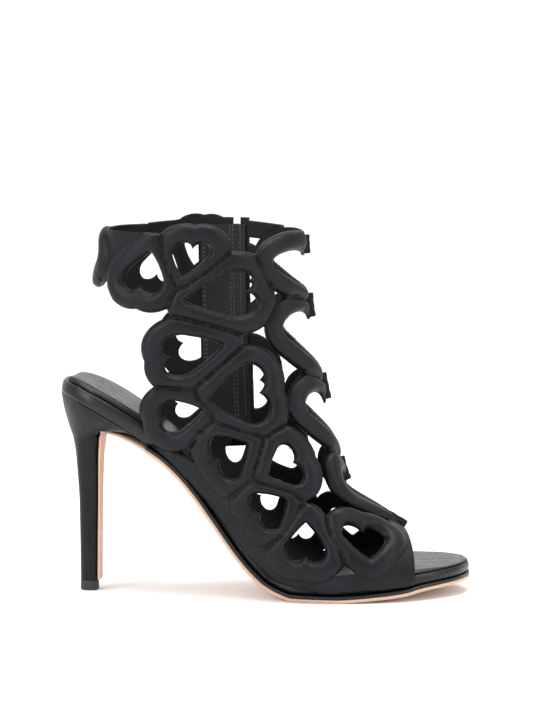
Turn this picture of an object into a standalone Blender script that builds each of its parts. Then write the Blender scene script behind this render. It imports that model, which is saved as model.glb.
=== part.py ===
"""A right-foot peep-toe caged bootie on a stiletto heel, modelled as one named object for each piece.

The shoe is laid out straight, with u along the foot, v across it (medial is positive) and z up, and each
point is then turned onto the foot's swayed centre line. The upper is a flat pattern of heart-shaped frames
that is wrapped onto the last, one half at a time.
"""

import math

import bmesh
import bpy
import numpy as np
from mathutils import Vector
from mathutils.geometry import delaunay_2d_cdt

MM = 0.001
COLLECTION_NAME = "Heart cage heel"

# Overall sizes
SHOE_LENGTH = 212 * MM
HEEL_HEIGHT = 105 * MM
SHAFT_HEIGHT = 90 * MM
BALL_WIDTH = 76 * MM
SHOE_HEIGHT = HEEL_HEIGHT + SHAFT_HEIGHT
TREAD_SHARE = 0.609
HEEL_TURN = math.radians(-10.5)
TOE_TURN = math.radians(11)

# Layers under the foot
GAP = 0.3 * MM
OUTSOLE_THICKNESS = 1.7 * MM
WELT_THICKNESS = 1.5 * MM
SOLE_STACK = OUTSOLE_THICKNESS + WELT_THICKNESS + 2 * GAP
SEAT_THICKNESS = 7 * MM
TOE_THICKNESS = 5 * MM
SOCK_INSET = 4 * MM
SOCK_RISE = 2 * MM
SOCK_GAP = 0.5 * MM
UPPER_LIFT = 1.6 * MM
WELT_MARGIN = 2.6 * MM
TOE_MARGIN = 0.6 * MM

# Upper
FRAME_WIDTH = 10 * MM
EDGE_THICKNESS = 2.2 * MM
CROWN_THICKNESS = 4.8 * MM
FLAT_THICKNESS = 1.7 * MM
SEAM_FADE = 5 * MM
TAB_WIDTH = 2.6 * MM
TAB_RISE = 1.8 * MM
TAB_CLEARANCE = 1.3 * MM
HEART_POINTS = 22
STATION_COUNT = 46
END_STEPS = (0 * MM, 0.5 * MM, 1.5 * MM, 3.2 * MM)

# Heel
FLAP_THICKNESS = 1.3 * MM

# Zip on the medial side
ZIP_BAND_BACK = 22 * MM
ZIP_BAND_FRONT = 7 * MM
TAPE_MARGIN = 1.5 * MM
ZIP_SLIT_WIDTH = 4.6 * MM
TAPE_THICKNESS = 0.7 * MM
TEETH_WIDTH = 3.6 * MM
TEETH_THICKNESS = 1.4 * MM
PULL_LENGTH = 19 * MM
PULL_WIDTH = 5 * MM
PULL_THICKNESS = 1.2 * MM

# Rise of the seat line above the sole layers: share of length from the heel, share of the heel height
SEAT_LINE = [
    (0.0, 1.0), (0.043, 0.977), (0.095, 0.927), (0.147, 0.864), (0.18, 0.818), (0.218, 0.759),
    (0.256, 0.704), (0.298, 0.618), (0.341, 0.506), (0.388, 0.359), (0.44, 0.196), (0.473, 0.1125),
    (0.501, 0.0573), (0.534, 0.0188), (0.562, 0.0), (0.657, 0.0), (0.727, 0.0099), (0.808, 0.0267),
    (0.859, 0.047), (0.93, 0.062), (1.0, 0.07),
]
# Half-width of the platform: share of length, share of the ball width
PLATFORM_HALF = [
    (0.0, 0.0), (0.006, 0.11), (0.02, 0.2), (0.05, 0.29), (0.09, 0.34), (0.14, 0.35), (0.22, 0.325),
    (0.33, 0.28), (0.42, 0.275), (0.5, 0.33), (0.58, 0.425), (0.66, 0.485), (0.72, 0.5), (0.78, 0.49),
    (0.85, 0.45), (0.91, 0.375), (0.955, 0.275), (0.985, 0.155), (0.996, 0.08), (1.0, 0.0),
]
# Platform thickness: share of length, share of the seat thickness that is added to the toe thickness
PLATFORM_SWELL = [(0.0, 1.0), (0.2, 1.0), (0.27, 0.6), (0.34, 0.0), (1.0, 0.0)]
# How far the outsole drops below the welt under the heel seat: share of length, share of the heel height
SEAT_DROP = [(0.1, 0.1), (0.119, 0.082), (0.15, 0.05), (0.185, 0.02), (0.225, 0.0), (1.0, 0.0)]
# Margin of the outsole beyond the platform: share of length, share between toe margin and welt margin
MARGIN_LINE = [(0.0, 0.0), (0.1, 0.0), (0.24, 1.0), (0.8, 1.0), (0.88, 0.0), (1.0, 0.0)]

# Sections of the last: front point (share of length, share of shoe height), back point (share of length,
# share of shoe height, or None on the seat line), half-width as a share of the ball width, where along the
# section the last is widest, and how round the front is
LAST_SECTIONS = [
    (0.581, 1.03, 0.136, 1.04, 0.42, 0.50, 1.6),
    (0.585, 0.945, 0.121, 0.965, 0.43, 0.50, 1.6),
    (0.590, 0.86, 0.092, 0.785, 0.445, 0.50, 1.6),
    (0.596, 0.772, 0.035, 0.585, 0.445, 0.50, 1.6),
    (0.604, 0.716, 0.139, None, 0.43, 0.52, 1.6),
    (0.613, 0.662, 0.235, None, 0.42, 0.56, 1.6),
    (0.632, 0.554, 0.357, None, 0.42, 0.62, 1.65),
    (0.655, 0.446, 0.455, None, 0.44, 0.68, 1.75),
    (0.680, 0.326, 0.577, None, 0.495, 0.76, 1.9),
    (0.705, 0.268, 0.648, None, 0.515, 0.80, 2.0),
    (0.773, 0.209, 0.741, None, 0.52, 0.82, 2.0),
    (0.809, 0.185, 0.795, None, 0.51, 0.84, 2.0),
    (0.849, 0.158, 0.849, None, 0.485, 0.85, 2.0),
    (0.900, 0.123, 0.905, None, 0.42, 0.85, 2.0),
]
LAST_BACK_ROUND = 2.2
HEEL_CORNER_FLOOR = 0.35
FLOOR_TUCK = 0.6
ARC_STEPS = 41

# A heart of height 1: radius of its lobes, the point of a lobe that the tables give, and how far out of the
# front line a lobe's shoulder lies for a reach of 1
LOBE_RADIUS = 0.28
LOBE_SHOULDER = math.radians(40)
LOBE_SPREAD = 0.7

# Hearts on each side: tip, first lobe and second lobe as seen from the side (share of length, share of shoe
# height), and how deep the cleft is as a share of the lobe radius
SIDE_HEARTS = {
    "h1": ((0.241, 0.922), (0.177, 0.836), (0.257, 0.822), 0.58),
    "h2": ((0.312, 0.859), (0.300, 0.939), (0.372, 0.937), 0.62),
    "h4": ((0.318, 0.797), (0.450, 0.870), (0.468, 0.767), 0.50),
    "h6": ((0.401, 0.680), (0.275, 0.692), (0.288, 0.602), 0.45),
    "h7": ((0.369, 0.539), (0.480, 0.620), (0.498, 0.484), 0.50),
    "h9": ((0.357, 0.510), (0.266, 0.522), (0.277, 0.450), 0.38),
    "h10": ((0.457, 0.421), (0.374, 0.420), (0.417, 0.327), 0.52),
    "h11": ((0.505, 0.338), (0.547, 0.412), (0.583, 0.322), 0.55),
    "h12": ((0.544, 0.273), (0.465, 0.273), (0.509, 0.194), 0.48),
    "h13": ((0.591, 0.212), (0.551, 0.124), (0.628, 0.118), 0.52),
    "h14": ((0.735, 0.116), (0.676, 0.196), (0.763, 0.173), 0.70),
}
# Hearts on the centre front: height of tip and of cleft on the front line (share of shoe height), lobe reach
# from the line as a share of the ball width, and how deep the cleft is
FRONT_HEARTS = {
    "c1": (0.805, 0.900, 0.44, 0.55),
    "c2": (0.590, 0.730, 0.37, 0.48),
    "c3": (0.370, 0.505, 0.30, 0.45),
    "c4": (0.208, 0.290, 0.22, 0.45),
}
# Heart at the centre back: height of tip and cleft on the back line, lobe reach and cleft depth
BACK_HEARTS = {"h0": (0.862, 0.922, 0.13, 0.30)}

# Plain panels, as seen from the side (share of length, share of shoe height)
ANKLE_PANEL = [
    (0.060, 0.972), (0.130, 0.972), (0.200, 0.972), (0.255, 0.972), (0.262, 0.93), (0.235, 0.925),
    (0.190, 0.90), (0.150, 0.87), (0.125, 0.84), (0.060, 0.84),
]
BASE_PANEL = [
    (0.197, 0.475), (0.225, 0.415), (0.32, 0.38), (0.38, 0.335), (0.45, 0.24), (0.505, 0.16), (0.56, 0.09),
    (0.66, 0.075), (0.74, 0.085), (0.792, 0.14), (0.792, 0.215), (0.833, 0.20), (0.833, -0.02),
    (0.62, -0.02), (0.47, -0.02), (0.30, 0.18), (0.197, 0.37),
]
COLLAR_STRIP = [
    (0.20, 0.975), (0.31, 0.985), (0.42, 0.985), (0.54, 0.975), (0.54, 0.93), (0.42, 0.94), (0.31, 0.94),
    (0.20, 0.935),
]


# Heel sections from the tip up: back edge and breast (share of length), half-width as a share of the ball
# width, height as a share of the heel height
HEEL_SECTIONS = [
    (0.045, 0.088, 0.066, 0.052),
    (0.044, 0.089, 0.066, 0.25),
    (0.0425, 0.0905, 0.068, 0.45),
    (0.038, 0.0915, 0.078, 0.60),
    (0.034, 0.093, 0.095, 0.70),
    (0.0285, 0.098, 0.135, 0.77),
]
# Where the heel's seat ends under the arch, where the outsole starts and where the welt starts
HEEL_SEAT_FRONT = 0.215
OUTSOLE_START = 0.128
WELT_START = 0.226
# Outsole's half-width as a share of the full one, where it narrows towards the heel's breast
OUTSOLE_WAIST = [(0.0, 0.36), (0.12, 0.36), (0.16, 0.50), (0.20, 0.78), (0.25, 1.0), (1.0, 1.0)]
# Leather down the heel's breast, from its foot up: outer face (share of length), half-width as a share of the
# ball width, height as a share of the heel height
FLAP_SECTIONS = [
    (0.088, 0.052, 0.054),
    (0.089, 0.052, 0.25),
    (0.0905, 0.054, 0.45),
    (0.0915, 0.062, 0.60),
    (0.093, 0.075, 0.69),
    (0.0955, 0.09, 0.735),
]

# Where each front tab starts and ends down the front line, as shares of the shoe height
TAB_SPANS = [(0.955, 0.905), (0.80, 0.735), (0.585, 0.515), (0.36, 0.295), (0.207, 0.165)]

# Zip: where its pieces start and end, as shares of its route from the collar down
ZIP_START = 0.03
SLIT_END = 0.75
TEETH_END = 0.73
TAPE_END = 0.9
SLIDER_PLACE = 0.04
SLIDER_LENGTH = 7 * MM
SLIDER_WIDTH = 6.5 * MM
SLIDER_THICKNESS = 1.6 * MM


def smooth_curve(table, column=1):
    """A function through a table's points that doesn't overshoot between them."""
    x = np.array([row[0] for row in table], float)
    y = np.array([row[column] for row in table], float)
    step = np.diff(x)
    slope = np.diff(y) / step
    tangent = np.zeros(len(x))
    same = slope[:-1] * slope[1:] > 0
    before, after = step[:-1], step[1:]
    low, high = 2 * after + before, after + 2 * before
    with np.errstate(divide="ignore", invalid="ignore"):
        mean = (low + high) / (low / slope[:-1] + high / slope[1:])
    tangent[1:-1] = np.where(same, mean, 0)
    tangent[0], tangent[-1] = slope[0], slope[-1]

    def curve(at):
        at = np.clip(np.asarray(at, float), x[0], x[-1])
        i = np.clip(np.searchsorted(x, at, side="right") - 1, 0, len(x) - 2)
        t = (at - x[i]) / step[i]
        return (
            (2 * t**3 - 3 * t**2 + 1) * y[i] + (t**3 - 2 * t**2 + t) * step[i] * tangent[i]
            + (3 * t**2 - 2 * t**3) * y[i + 1] + (t**3 - t**2) * step[i] * tangent[i + 1]
        )

    return curve


def along(share):
    """Distance along the foot from the tread spot."""
    return (np.asarray(share, float) - TREAD_SHARE) * SHOE_LENGTH


def share_of(u):
    return u / SHOE_LENGTH + TREAD_SHARE


seat_rise = smooth_curve(SEAT_LINE)
platform_half_share = smooth_curve(PLATFORM_HALF)
waist_share = smooth_curve(OUTSOLE_WAIST)
swell_share = smooth_curve(PLATFORM_SWELL)
drop_share = smooth_curve(SEAT_DROP)
margin_share = smooth_curve(MARGIN_LINE)


def seat_height(u):
    return SOLE_STACK + (HEEL_HEIGHT - SOLE_STACK) * seat_rise(share_of(u))


def platform_half(u):
    return BALL_WIDTH * platform_half_share(share_of(u))


def platform_thickness(u):
    return TOE_THICKNESS + (SEAT_THICKNESS - TOE_THICKNESS) * swell_share(share_of(u))


def seat_drop(u):
    return HEEL_HEIGHT * drop_share(share_of(u))


def seat_normal(u):
    step = 0.2 * MM
    slope = (seat_height(u + step) - seat_height(u - step)) / (2 * step)
    length = np.sqrt(1 + slope**2)
    return -slope / length, 1 / length


def lifted(u, lift):
    """The point at a distance above the seat line, square to it, as (u, z)."""
    nu, nz = seat_normal(u)
    return u + nu * lift, seat_height(u) + nz * lift


def swayed(u, v, z):
    """Turns straight-foot coordinates onto the swayed centre line."""
    share = share_of(u)
    low, high = math.tan(HEEL_TURN), math.tan(TOE_TURN)
    y = SHOE_LENGTH * (low * share + (high - low) / 2 * share**2)
    turn = np.arctan(low + (high - low) * share)
    return np.stack([u - v * np.sin(turn), y + v * np.cos(turn), z + 0 * u], -1)


class Last:
    """The inner surface of the upper, one half of it, as sections that each run from front to back."""

    def __init__(self):
        rows = np.array([[math.nan if x is None else x for x in row] for row in LAST_SECTIONS])
        closed = ~np.isnan(rows[:, 3])
        self.count = len(rows)
        steps = np.arange(self.count)
        back_u = along(rows[:, 2])
        back_z = rows[:, 3] * SHOE_HEIGHT
        floor_u, floor_z = lifted(back_u, UPPER_LIFT)
        floor = platform_half(back_u) + GAP
        back_u = np.where(closed, back_u, floor_u)
        back_z = np.where(closed, back_z, floor_z)
        floor = np.where(closed, 0, floor)
        floor[int(closed.sum()) - 1] = HEEL_CORNER_FLOOR * BALL_WIDTH * rows[int(closed.sum()) - 1, 4]
        values = [
            along(rows[:, 0]), rows[:, 1] * SHOE_HEIGHT, back_u, back_z, rows[:, 4] * BALL_WIDTH,
            rows[:, 5], rows[:, 6], floor,
        ]
        self.curves = [smooth_curve(list(zip(steps, column))) for column in values]
        self.closed_until = float(closed.sum() - 2)

    def frame(self, station):
        fu, fz, bu, bz = (self.curves[k](station) for k in range(4))
        return np.stack([fu, fz], -1), np.stack([bu, bz], -1)

    def width(self, station, t):
        half, widest, front, floor = (self.curves[k](station) for k in range(4, 8))
        half = np.maximum(half, floor)
        rise = np.clip(1 - t / widest, 0, 1)
        ahead = half * (1 - rise**front) ** (1 / front)
        fall = np.clip((t - widest) / (1 - widest), 0, 1)
        left = (1 - FLOOR_TUCK**LAST_BACK_ROUND) ** (1 / LAST_BACK_ROUND)
        left = left * np.clip(station - self.closed_until, 0, 1)
        tuck = (1 - left**LAST_BACK_ROUND) ** (1 / LAST_BACK_ROUND)
        curve = (1 - (fall * tuck) ** LAST_BACK_ROUND) ** (1 / LAST_BACK_ROUND)
        behind = floor + (half - floor) * (curve - left) / (1 - left)
        return np.where(t < widest, ahead, behind)

    def station_of(self, points):
        """The section whose line runs through each side-view point."""
        low = np.zeros(len(points))
        high = np.full(len(points), self.count - 1.0)

        def side(station):
            front, back = self.frame(station)
            line = back - front
            way = points - front
            return line[:, 0] * way[:, 1] - line[:, 1] * way[:, 0]

        start = side(low)
        for _ in range(30):
            middle = (low + high) / 2
            same = side(middle) * start > 0
            low = np.where(same, middle, low)
            high = np.where(same, high, middle)
        return (low + high) / 2

    def arcs(self, station):
        """Arc length from the front at each of a section's steps, less its length as the side view shows it."""
        bend = np.linspace(0, math.pi, ARC_STEPS)
        t = (1 - np.cos(bend)) / 2
        front, back = self.frame(station)
        reach = np.linalg.norm(back - front, axis=-1)
        v = self.width(station[:, None], t[None, :])
        legs = np.hypot(np.diff(t)[None, :] * reach[:, None], np.diff(v, axis=1))
        arc = np.concatenate([np.zeros((len(station), 1)), np.cumsum(legs, axis=1)], axis=1)
        widest = self.curves[5](station)
        middle = np.array([np.interp(w, t, row) for w, row in zip(widest, arc)])
        return t, arc - middle[:, None] + (widest * reach)[:, None], reach, front, back

    def flat_of(self, points):
        """Side-view points as points of the flat pattern."""
        points = np.atleast_2d(np.asarray(points, float))
        station = self.station_of(points)
        t, place, reach, front, back = self.arcs(station)
        line = (back - front) / reach[:, None]
        here = np.clip(np.sum((points - front) * line, axis=1) / reach, 0, 1)
        moved = np.array([np.interp(h, t, row) for h, row in zip(here, place)])
        return front + line * moved[:, None]

    def line_of(self, station, t_end):
        """Flat points of a section end: 0 for the front line, 1 for the back line."""
        station = np.atleast_1d(np.asarray(station, float))
        t, place, reach, front, back = self.arcs(station)
        line = (back - front) / reach[:, None]
        return front + line * place[:, -1 if t_end else 0][:, None]

    def wrapped(self, flat):
        """Flat points on the last, as (u, v, z) on the medial half."""
        station = self.station_of(flat)
        t, place, reach, front, back = self.arcs(station)
        line = (back - front) / reach[:, None]
        moved = np.sum((flat - front) * line, axis=1)
        here = np.array([np.interp(m, row, t) for m, row in zip(moved, place)])
        surface = front + (back - front) * here[:, None]
        v = self.width(station, here)
        return np.stack([surface[:, 0], v, surface[:, 1]], -1)


def heart_outline(tip, left, right, cleft, count):
    """A heart from its tip round both lobes, skewed so that its lobes' shoulders fall on left and right."""
    radius, shoulder = LOBE_RADIUS, LOBE_SHOULDER
    centre = radius * math.sqrt(1 - (1 - cleft) ** 2)
    height = 1 - radius
    distance = math.hypot(centre, height)
    tangent = math.asin(radius / distance)
    lean = math.atan2(centre, height)
    touch = math.sqrt(distance**2 - radius**2)
    start = math.atan2(touch * math.cos(lean + tangent) - height, touch * math.sin(lean + tangent) - centre)
    end = math.atan2(radius * (1 - cleft), -centre)
    lobe = np.linspace(start, end, 48)
    side = np.linspace(0, 1, 24)[:-1, None] * np.array(
        [[centre + radius * math.cos(start), height + radius * math.sin(start)]]
    )
    side[:, 0] += 0.035 * np.sin(np.linspace(0, math.pi, 24)[:-1])
    round_lobe = np.stack([centre + radius * np.cos(lobe), height + radius * np.sin(lobe)], -1)
    half = np.concatenate([side, round_lobe])
    legs = np.linalg.norm(np.diff(half, axis=0), axis=1)
    run = np.concatenate([[0], np.cumsum(legs)])
    steps = np.linspace(0, run[-1], count // 2 + 1)
    half = np.stack([np.interp(steps, run, half[:, 0]), np.interp(steps, run, half[:, 1])], -1)
    mirrored = half[-2:0:-1] * [-1, 1]
    unit = np.concatenate([half, mirrored])
    across = (right - left) / (2 * (centre + radius * math.cos(shoulder)))
    up = ((left + right) / 2 - tip) / (height + radius * math.sin(shoulder))
    return tip + unit[:, :1] * across + unit[:, 1:] * up


def line_station(last, height, end):
    """The station whose front or back point is at this height."""
    stations = np.linspace(0, last.count - 1, 800)
    front, back = last.frame(stations)
    z = (back if end else front)[:, 1]
    if end:
        stations, z = stations[: 200], z[: 200]
    return float(np.interp(-height, -z, stations))


def centre_heart(last, row, end, count):
    """A heart whose axis lies on the front or the back line."""
    tip_z, cleft_z, reach, cleft = row
    tip = last.line_of(line_station(last, tip_z * SHOE_HEIGHT, end), end)[0]
    notch = last.line_of(line_station(last, cleft_z * SHOE_HEIGHT, end), end)[0]
    axis = notch - tip
    square = np.array([axis[1], -axis[0]]) / np.linalg.norm(axis)
    out = square * reach * BALL_WIDTH * LOBE_SPREAD
    shoulder_height = 1 - LOBE_RADIUS + LOBE_RADIUS * math.sin(LOBE_SHOULDER)
    top = tip + axis * shoulder_height / (1 - LOBE_RADIUS * cleft)
    return heart_outline(tip, top - out, top + out, cleft, count)


def hearts_of(last, count):
    outlines = []
    for tip, left, right, cleft in SIDE_HEARTS.values():
        side = np.array([tip, left, right]) * [SHOE_LENGTH, SHOE_HEIGHT] - [TREAD_SHARE * SHOE_LENGTH, 0]
        outlines.append(heart_outline(*last.flat_of(side), cleft, count))
    outlines += [centre_heart(last, row, 0, count) for row in FRONT_HEARTS.values()]
    outlines += [centre_heart(last, row, 1, count) for row in BACK_HEARTS.values()]
    return outlines


def nearest(points, outline):
    """Distance from each point to a closed outline, negative inside it."""
    ends = np.roll(outline, -1, axis=0)
    legs = ends - outline
    way = points[:, None, :] - outline[None, :, :]
    t = np.clip((way * legs).sum(-1) / (legs**2).sum(-1), 0, 1)
    away = np.linalg.norm(way - t[..., None] * legs, axis=-1).min(axis=1)
    return np.where(inside(points, outline), -away, away)


def inside(points, outline):
    ends = np.roll(outline, -1, axis=0)
    x, y = points[:, :1], points[:, 1:]
    spans = (outline[None, :, 1] > y) != (ends[None, :, 1] > y)
    rise = np.where(ends[:, 1] == outline[:, 1], 1, ends[:, 1] - outline[:, 1])
    cross = outline[:, 0] + (y - outline[:, 1]) / rise * (ends[:, 0] - outline[:, 0])
    return (spans & (x < cross)).sum(axis=1) % 2 == 1


def side_points(table):
    return np.array(table) * [SHOE_LENGTH, SHOE_HEIGHT] - [TREAD_SHARE * SHOE_LENGTH, 0]


def fields_at(points, outlines):
    """Distance to the nearest heart and to the second nearest."""
    distance = np.sort(np.stack([nearest(points, outline) for outline in outlines]), axis=0)
    return distance[0], distance[1]


def rings_of(outlines):
    """Crown and rim points round each heart, and the rim stretches that border an opening."""
    points, rims = [], []
    for own, outline in enumerate(outlines):
        others = [other for k, other in enumerate(outlines) if k != own]
        along_edge = np.roll(outline, -1, axis=0) - np.roll(outline, 1, axis=0)
        out = np.stack([along_edge[:, 1], -along_edge[:, 0]], -1)
        out /= np.linalg.norm(out, axis=1)[:, None]
        if inside(outline[:1] + out[:1] * 0.1 * MM, outline)[0]:
            out = -out
        reach = np.full(len(outline), FRAME_WIDTH)
        for share in np.linspace(0.1, 1, 19):
            trial = outline + out * FRAME_WIDTH * share
            near = np.min([nearest(trial, other) for other in others], axis=0)
            meets = (near < FRAME_WIDTH * share) & (reach == FRAME_WIDTH)
            reach = np.where(meets, FRAME_WIDTH * (share - 0.025), reach)
        rim = outline + out * reach[:, None]
        own_distance = nearest(rim, outline)
        keep = own_distance > reach * 0.93
        points.append(outline + out * reach[:, None] * 0.5)
        points.append(rim[keep & (reach < FRAME_WIDTH)])
        free = keep & (reach == FRAME_WIDTH)
        rims.append((rim, free))
    return np.concatenate(points), rims


def zip_route(last):
    """The zip's middle line in the flat pattern, from the collar down."""
    side = side_points([(0.425, 0.99), (0.426, 0.86), (0.43, 0.70), (0.435, 0.55), (0.44, 0.37)])
    return last.flat_of(side)


def route_points(route, start, end, count):
    """Evenly spaced points between two shares of a route's length."""
    legs = np.concatenate([[0], np.cumsum(np.linalg.norm(np.diff(route, axis=0), axis=1))])
    steps = np.linspace(start, end, count) * legs[-1]
    return np.stack([np.interp(steps, legs, route[:, 0]), np.interp(steps, legs, route[:, 1])], -1)


def beside(line, offset):
    """A line in the flat pattern moved sideways, towards the toe where the offset is positive."""
    way = np.gradient(line, axis=0)
    way /= np.linalg.norm(way, axis=1)[:, None]
    return line + np.stack([-way[:, 1], way[:, 0]], -1) * offset


def band_outline(line, front, back):
    """The outline of a band that reaches a distance to the front and to the back of a line."""
    return np.concatenate([beside(line, front), beside(line, -back)[::-1]])


def denser(outline, spacing):
    """The outline with points added so that none are further apart than the spacing."""
    out = []
    for a, b in zip(outline, np.roll(outline, -1, axis=0)):
        n = max(1, int(math.ceil(np.linalg.norm(b - a) / spacing)))
        out += [a + (b - a) * k / n for k in range(n)]
    return np.array(out)


def half_pattern(last, outlines, medial, spacing):
    """Points and triangles of one half of the upper, in the flat pattern."""
    crown, rims = rings_of(outlines)
    points, edges = [], []

    def chain(chain_points, close=True):
        first = len(points)
        points.extend(chain_points)
        count = len(chain_points)
        edges.extend((first + k, first + (k + 1) % count) for k in range(count if close else count - 1))

    panels = [last.flat_of(side_points(table)) for table in (ANKLE_PANEL, BASE_PANEL)]
    band = slit = None
    if medial:
        route = zip_route(last)
        band = band_outline(route, ZIP_BAND_FRONT, ZIP_BAND_BACK)
        slit = band_outline(route_points(route, 0, SLIT_END, 9), ZIP_SLIT_WIDTH / 2, ZIP_SLIT_WIDTH / 2)
        panels.append(last.flat_of(side_points(COLLAR_STRIP)))
        panels.append(band)
    for outline in outlines:
        chain(list(outline))
    for panel in panels:
        chain(list(denser(panel, spacing)))
    if slit is not None:
        chain(list(denser(slit, spacing)))
    front_line = last.line_of(np.linspace(0, last.count - 1, 70), 0)
    closed_line = last.line_of(np.linspace(0, last.closed_until, 24), 1)
    floor_line = last.line_of(np.linspace(last.closed_until + 1, last.count - 1, 44), 1)
    for line in (front_line, closed_line, floor_line):
        chain(list(line), close=False)
    for rim, free in rims:
        count = len(rim)
        for k in range(count):
            after = (k + 1) % count
            if free[k] and free[after]:
                first = len(points)
                points.extend([rim[k], rim[after]])
                edges.append((first, first + 1))
            elif free[k]:
                points.append(rim[k])
    points.extend(crown)
    coordinates = np.array(points)
    unique, index = np.unique(np.round(coordinates / (0.25 * MM)).astype(int), axis=0, return_index=True)[:2]
    lookup = {tuple(key): n for n, key in enumerate(unique)}
    keys = np.round(coordinates / (0.25 * MM)).astype(int)
    renamed = [lookup[tuple(key)] for key in keys]
    coordinates = coordinates[index]
    edges = {tuple(sorted((renamed[a], renamed[b]))) for a, b in edges}
    edges = [edge for edge in edges if edge[0] != edge[1]]
    made = delaunay_2d_cdt([Vector(p) for p in coordinates / MM], edges, [], 0, 0.02)
    flat = np.array([list(p) for p in made[0]]) * MM
    faces = np.array([face for face in made[2] if len(face) == 3])
    middle = flat[faces].mean(axis=1)
    near, _ = fields_at(middle, outlines)
    leather = (near > 0) & (near < FRAME_WIDTH * 0.995)
    for panel in panels:
        leather |= inside(middle, panel) & ((near > 0) | (panel is band))
    if slit is not None:
        leather &= ~inside(middle, slit)
    station = last.station_of(middle)
    t, place, reach, front, back = last.arcs(station)
    line = (back - front) / reach[:, None]
    moved = np.sum((middle - front) * line, axis=1)
    leather &= (moved > place[:, 0]) & (moved < place[:, -1])
    leather &= (station > 0.02) & (station < last.count - 1.02)
    area = np.abs(np.cross(flat[faces[:, 1]] - flat[faces[:, 0]], flat[faces[:, 2]] - flat[faces[:, 0]])) / 2
    leather &= area > 1e-4 * MM * MM
    return flat, faces[leather], band


def relief(last, flat, outlines, band):
    """Thickness of the leather: puffy between a heart's edge and the groove round its frame."""
    near, second = fields_at(flat, outlines)
    reach = np.minimum(FRAME_WIDTH, (near + second) / 2)
    across = np.clip(near / reach, 0, 1)
    base = EDGE_THICKNESS + (FLAT_THICKNESS - EDGE_THICKNESS) * across
    puff = (CROWN_THICKNESS - FLAT_THICKNESS) * np.sqrt(np.clip(reach / FRAME_WIDTH, 0.2, 1))
    _, place, _, front, back = last.arcs(last.station_of(flat))
    line = (back - front) / np.linalg.norm(back - front, axis=1)[:, None]
    from_seam = np.sum((flat - front) * line, axis=1) - place[:, 0]
    puff = puff * np.clip(from_seam / SEAM_FADE, 0, 1)
    thickness = base + puff * np.sin(math.pi * across) ** 0.8
    if band is not None:
        thickness = np.where(inside(flat, band), FLAT_THICKNESS, thickness)
    return thickness


def make_mesh(name, vertices, faces, material):
    mesh = bpy.data.meshes.new(name)
    mesh.from_pydata([tuple(v) for v in vertices], [], [tuple(int(i) for i in face) for face in faces])
    body = bmesh.new()
    body.from_mesh(mesh)
    bmesh.ops.recalc_face_normals(body, faces=body.faces)
    body.to_mesh(mesh)
    body.free()
    piece = bpy.data.objects.new(name, mesh)
    piece.data.materials.append(material)
    bpy.data.collections[COLLECTION_NAME].objects.link(piece)
    return piece


def part_touching_corners(mesh):
    """Where pieces of leather meet at a bare point, only the largest keeps its triangles there."""
    for _ in range(8):
        extra = set()
        for vertex in mesh.verts:
            if sum(len(edge.link_faces) == 1 for edge in vertex.link_edges) <= 2:
                continue
            waiting, fans = set(vertex.link_faces), []
            while waiting:
                fan, reach = set(), [waiting.pop()]
                while reach:
                    face = reach.pop()
                    fan.add(face)
                    for edge in face.edges:
                        if vertex in edge.verts:
                            found = waiting.intersection(edge.link_faces)
                            waiting -= found
                            reach += found
                fans.append(fan)
            fans.sort(key=lambda fan: sum(face.calc_area() for face in fan))
            for fan in fans[:-1]:
                extra |= fan
        if not extra:
            return
        bmesh.ops.delete(mesh, geom=list(extra), context="FACES")


def keep_largest_piece(mesh):
    waiting, pieces = set(mesh.faces), []
    while waiting:
        piece, reach = set(), [waiting.pop()]
        while reach:
            face = reach.pop()
            piece.add(face)
            for edge in face.edges:
                found = waiting.intersection(edge.link_faces)
                waiting -= found
                reach += found
        pieces.append(piece)
    pieces.sort(key=len)
    bmesh.ops.delete(mesh, geom=[face for piece in pieces[:-1] for face in piece], context="FACES")


def make_upper(last, outlines, material):
    vertices, faces, thickness = [], [], []
    for side in (-1, 1):
        flat, triangles, band = half_pattern(last, outlines, side > 0, 9 * MM)
        body = last.wrapped(flat)
        triangles = triangles[body[triangles, 1].max(axis=1) > 0.5 * MM]
        placed = swayed(body[:, 0], body[:, 1] * side, body[:, 2])
        offset = len(vertices)
        vertices.extend(placed)
        thickness.extend(relief(last, flat, outlines, band))
        faces.extend(triangles[:, ::-side] + offset)
    mesh = bmesh.new()
    layer = mesh.verts.layers.float.new("thickness")
    made = []
    for vertex, depth in zip(vertices, thickness):
        point = mesh.verts.new(vertex)
        point[layer] = depth
        made.append(point)
    for face in faces:
        mesh.faces.new([made[i] for i in face])
    bmesh.ops.remove_doubles(mesh, verts=mesh.verts, dist=0.35 * MM)
    bmesh.ops.dissolve_degenerate(mesh, edges=mesh.edges, dist=0.05 * MM)
    bmesh.ops.triangulate(mesh, faces=mesh.faces)
    part_touching_corners(mesh)
    keep_largest_piece(mesh)
    loose = [v for v in mesh.verts if not v.link_faces]
    bmesh.ops.delete(mesh, geom=loose, context="VERTS")
    bmesh.ops.recalc_face_normals(mesh, faces=mesh.faces)
    data = bpy.data.meshes.new("upper")
    depths = [vertex[layer] for vertex in mesh.verts]
    mesh.to_mesh(data)
    mesh.free()
    upper = bpy.data.objects.new("upper", data)
    data.materials.append(material)
    bpy.data.collections[COLLECTION_NAME].objects.link(upper)
    group = upper.vertex_groups.new(name="thickness")
    for index, depth in enumerate(depths):
        group.add([index], min(1, depth / CROWN_THICKNESS), "REPLACE")
    solid = upper.modifiers.new("wall", "SOLIDIFY")
    solid.thickness = CROWN_THICKNESS
    solid.offset = 1
    solid.vertex_group = "thickness"
    return upper


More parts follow.
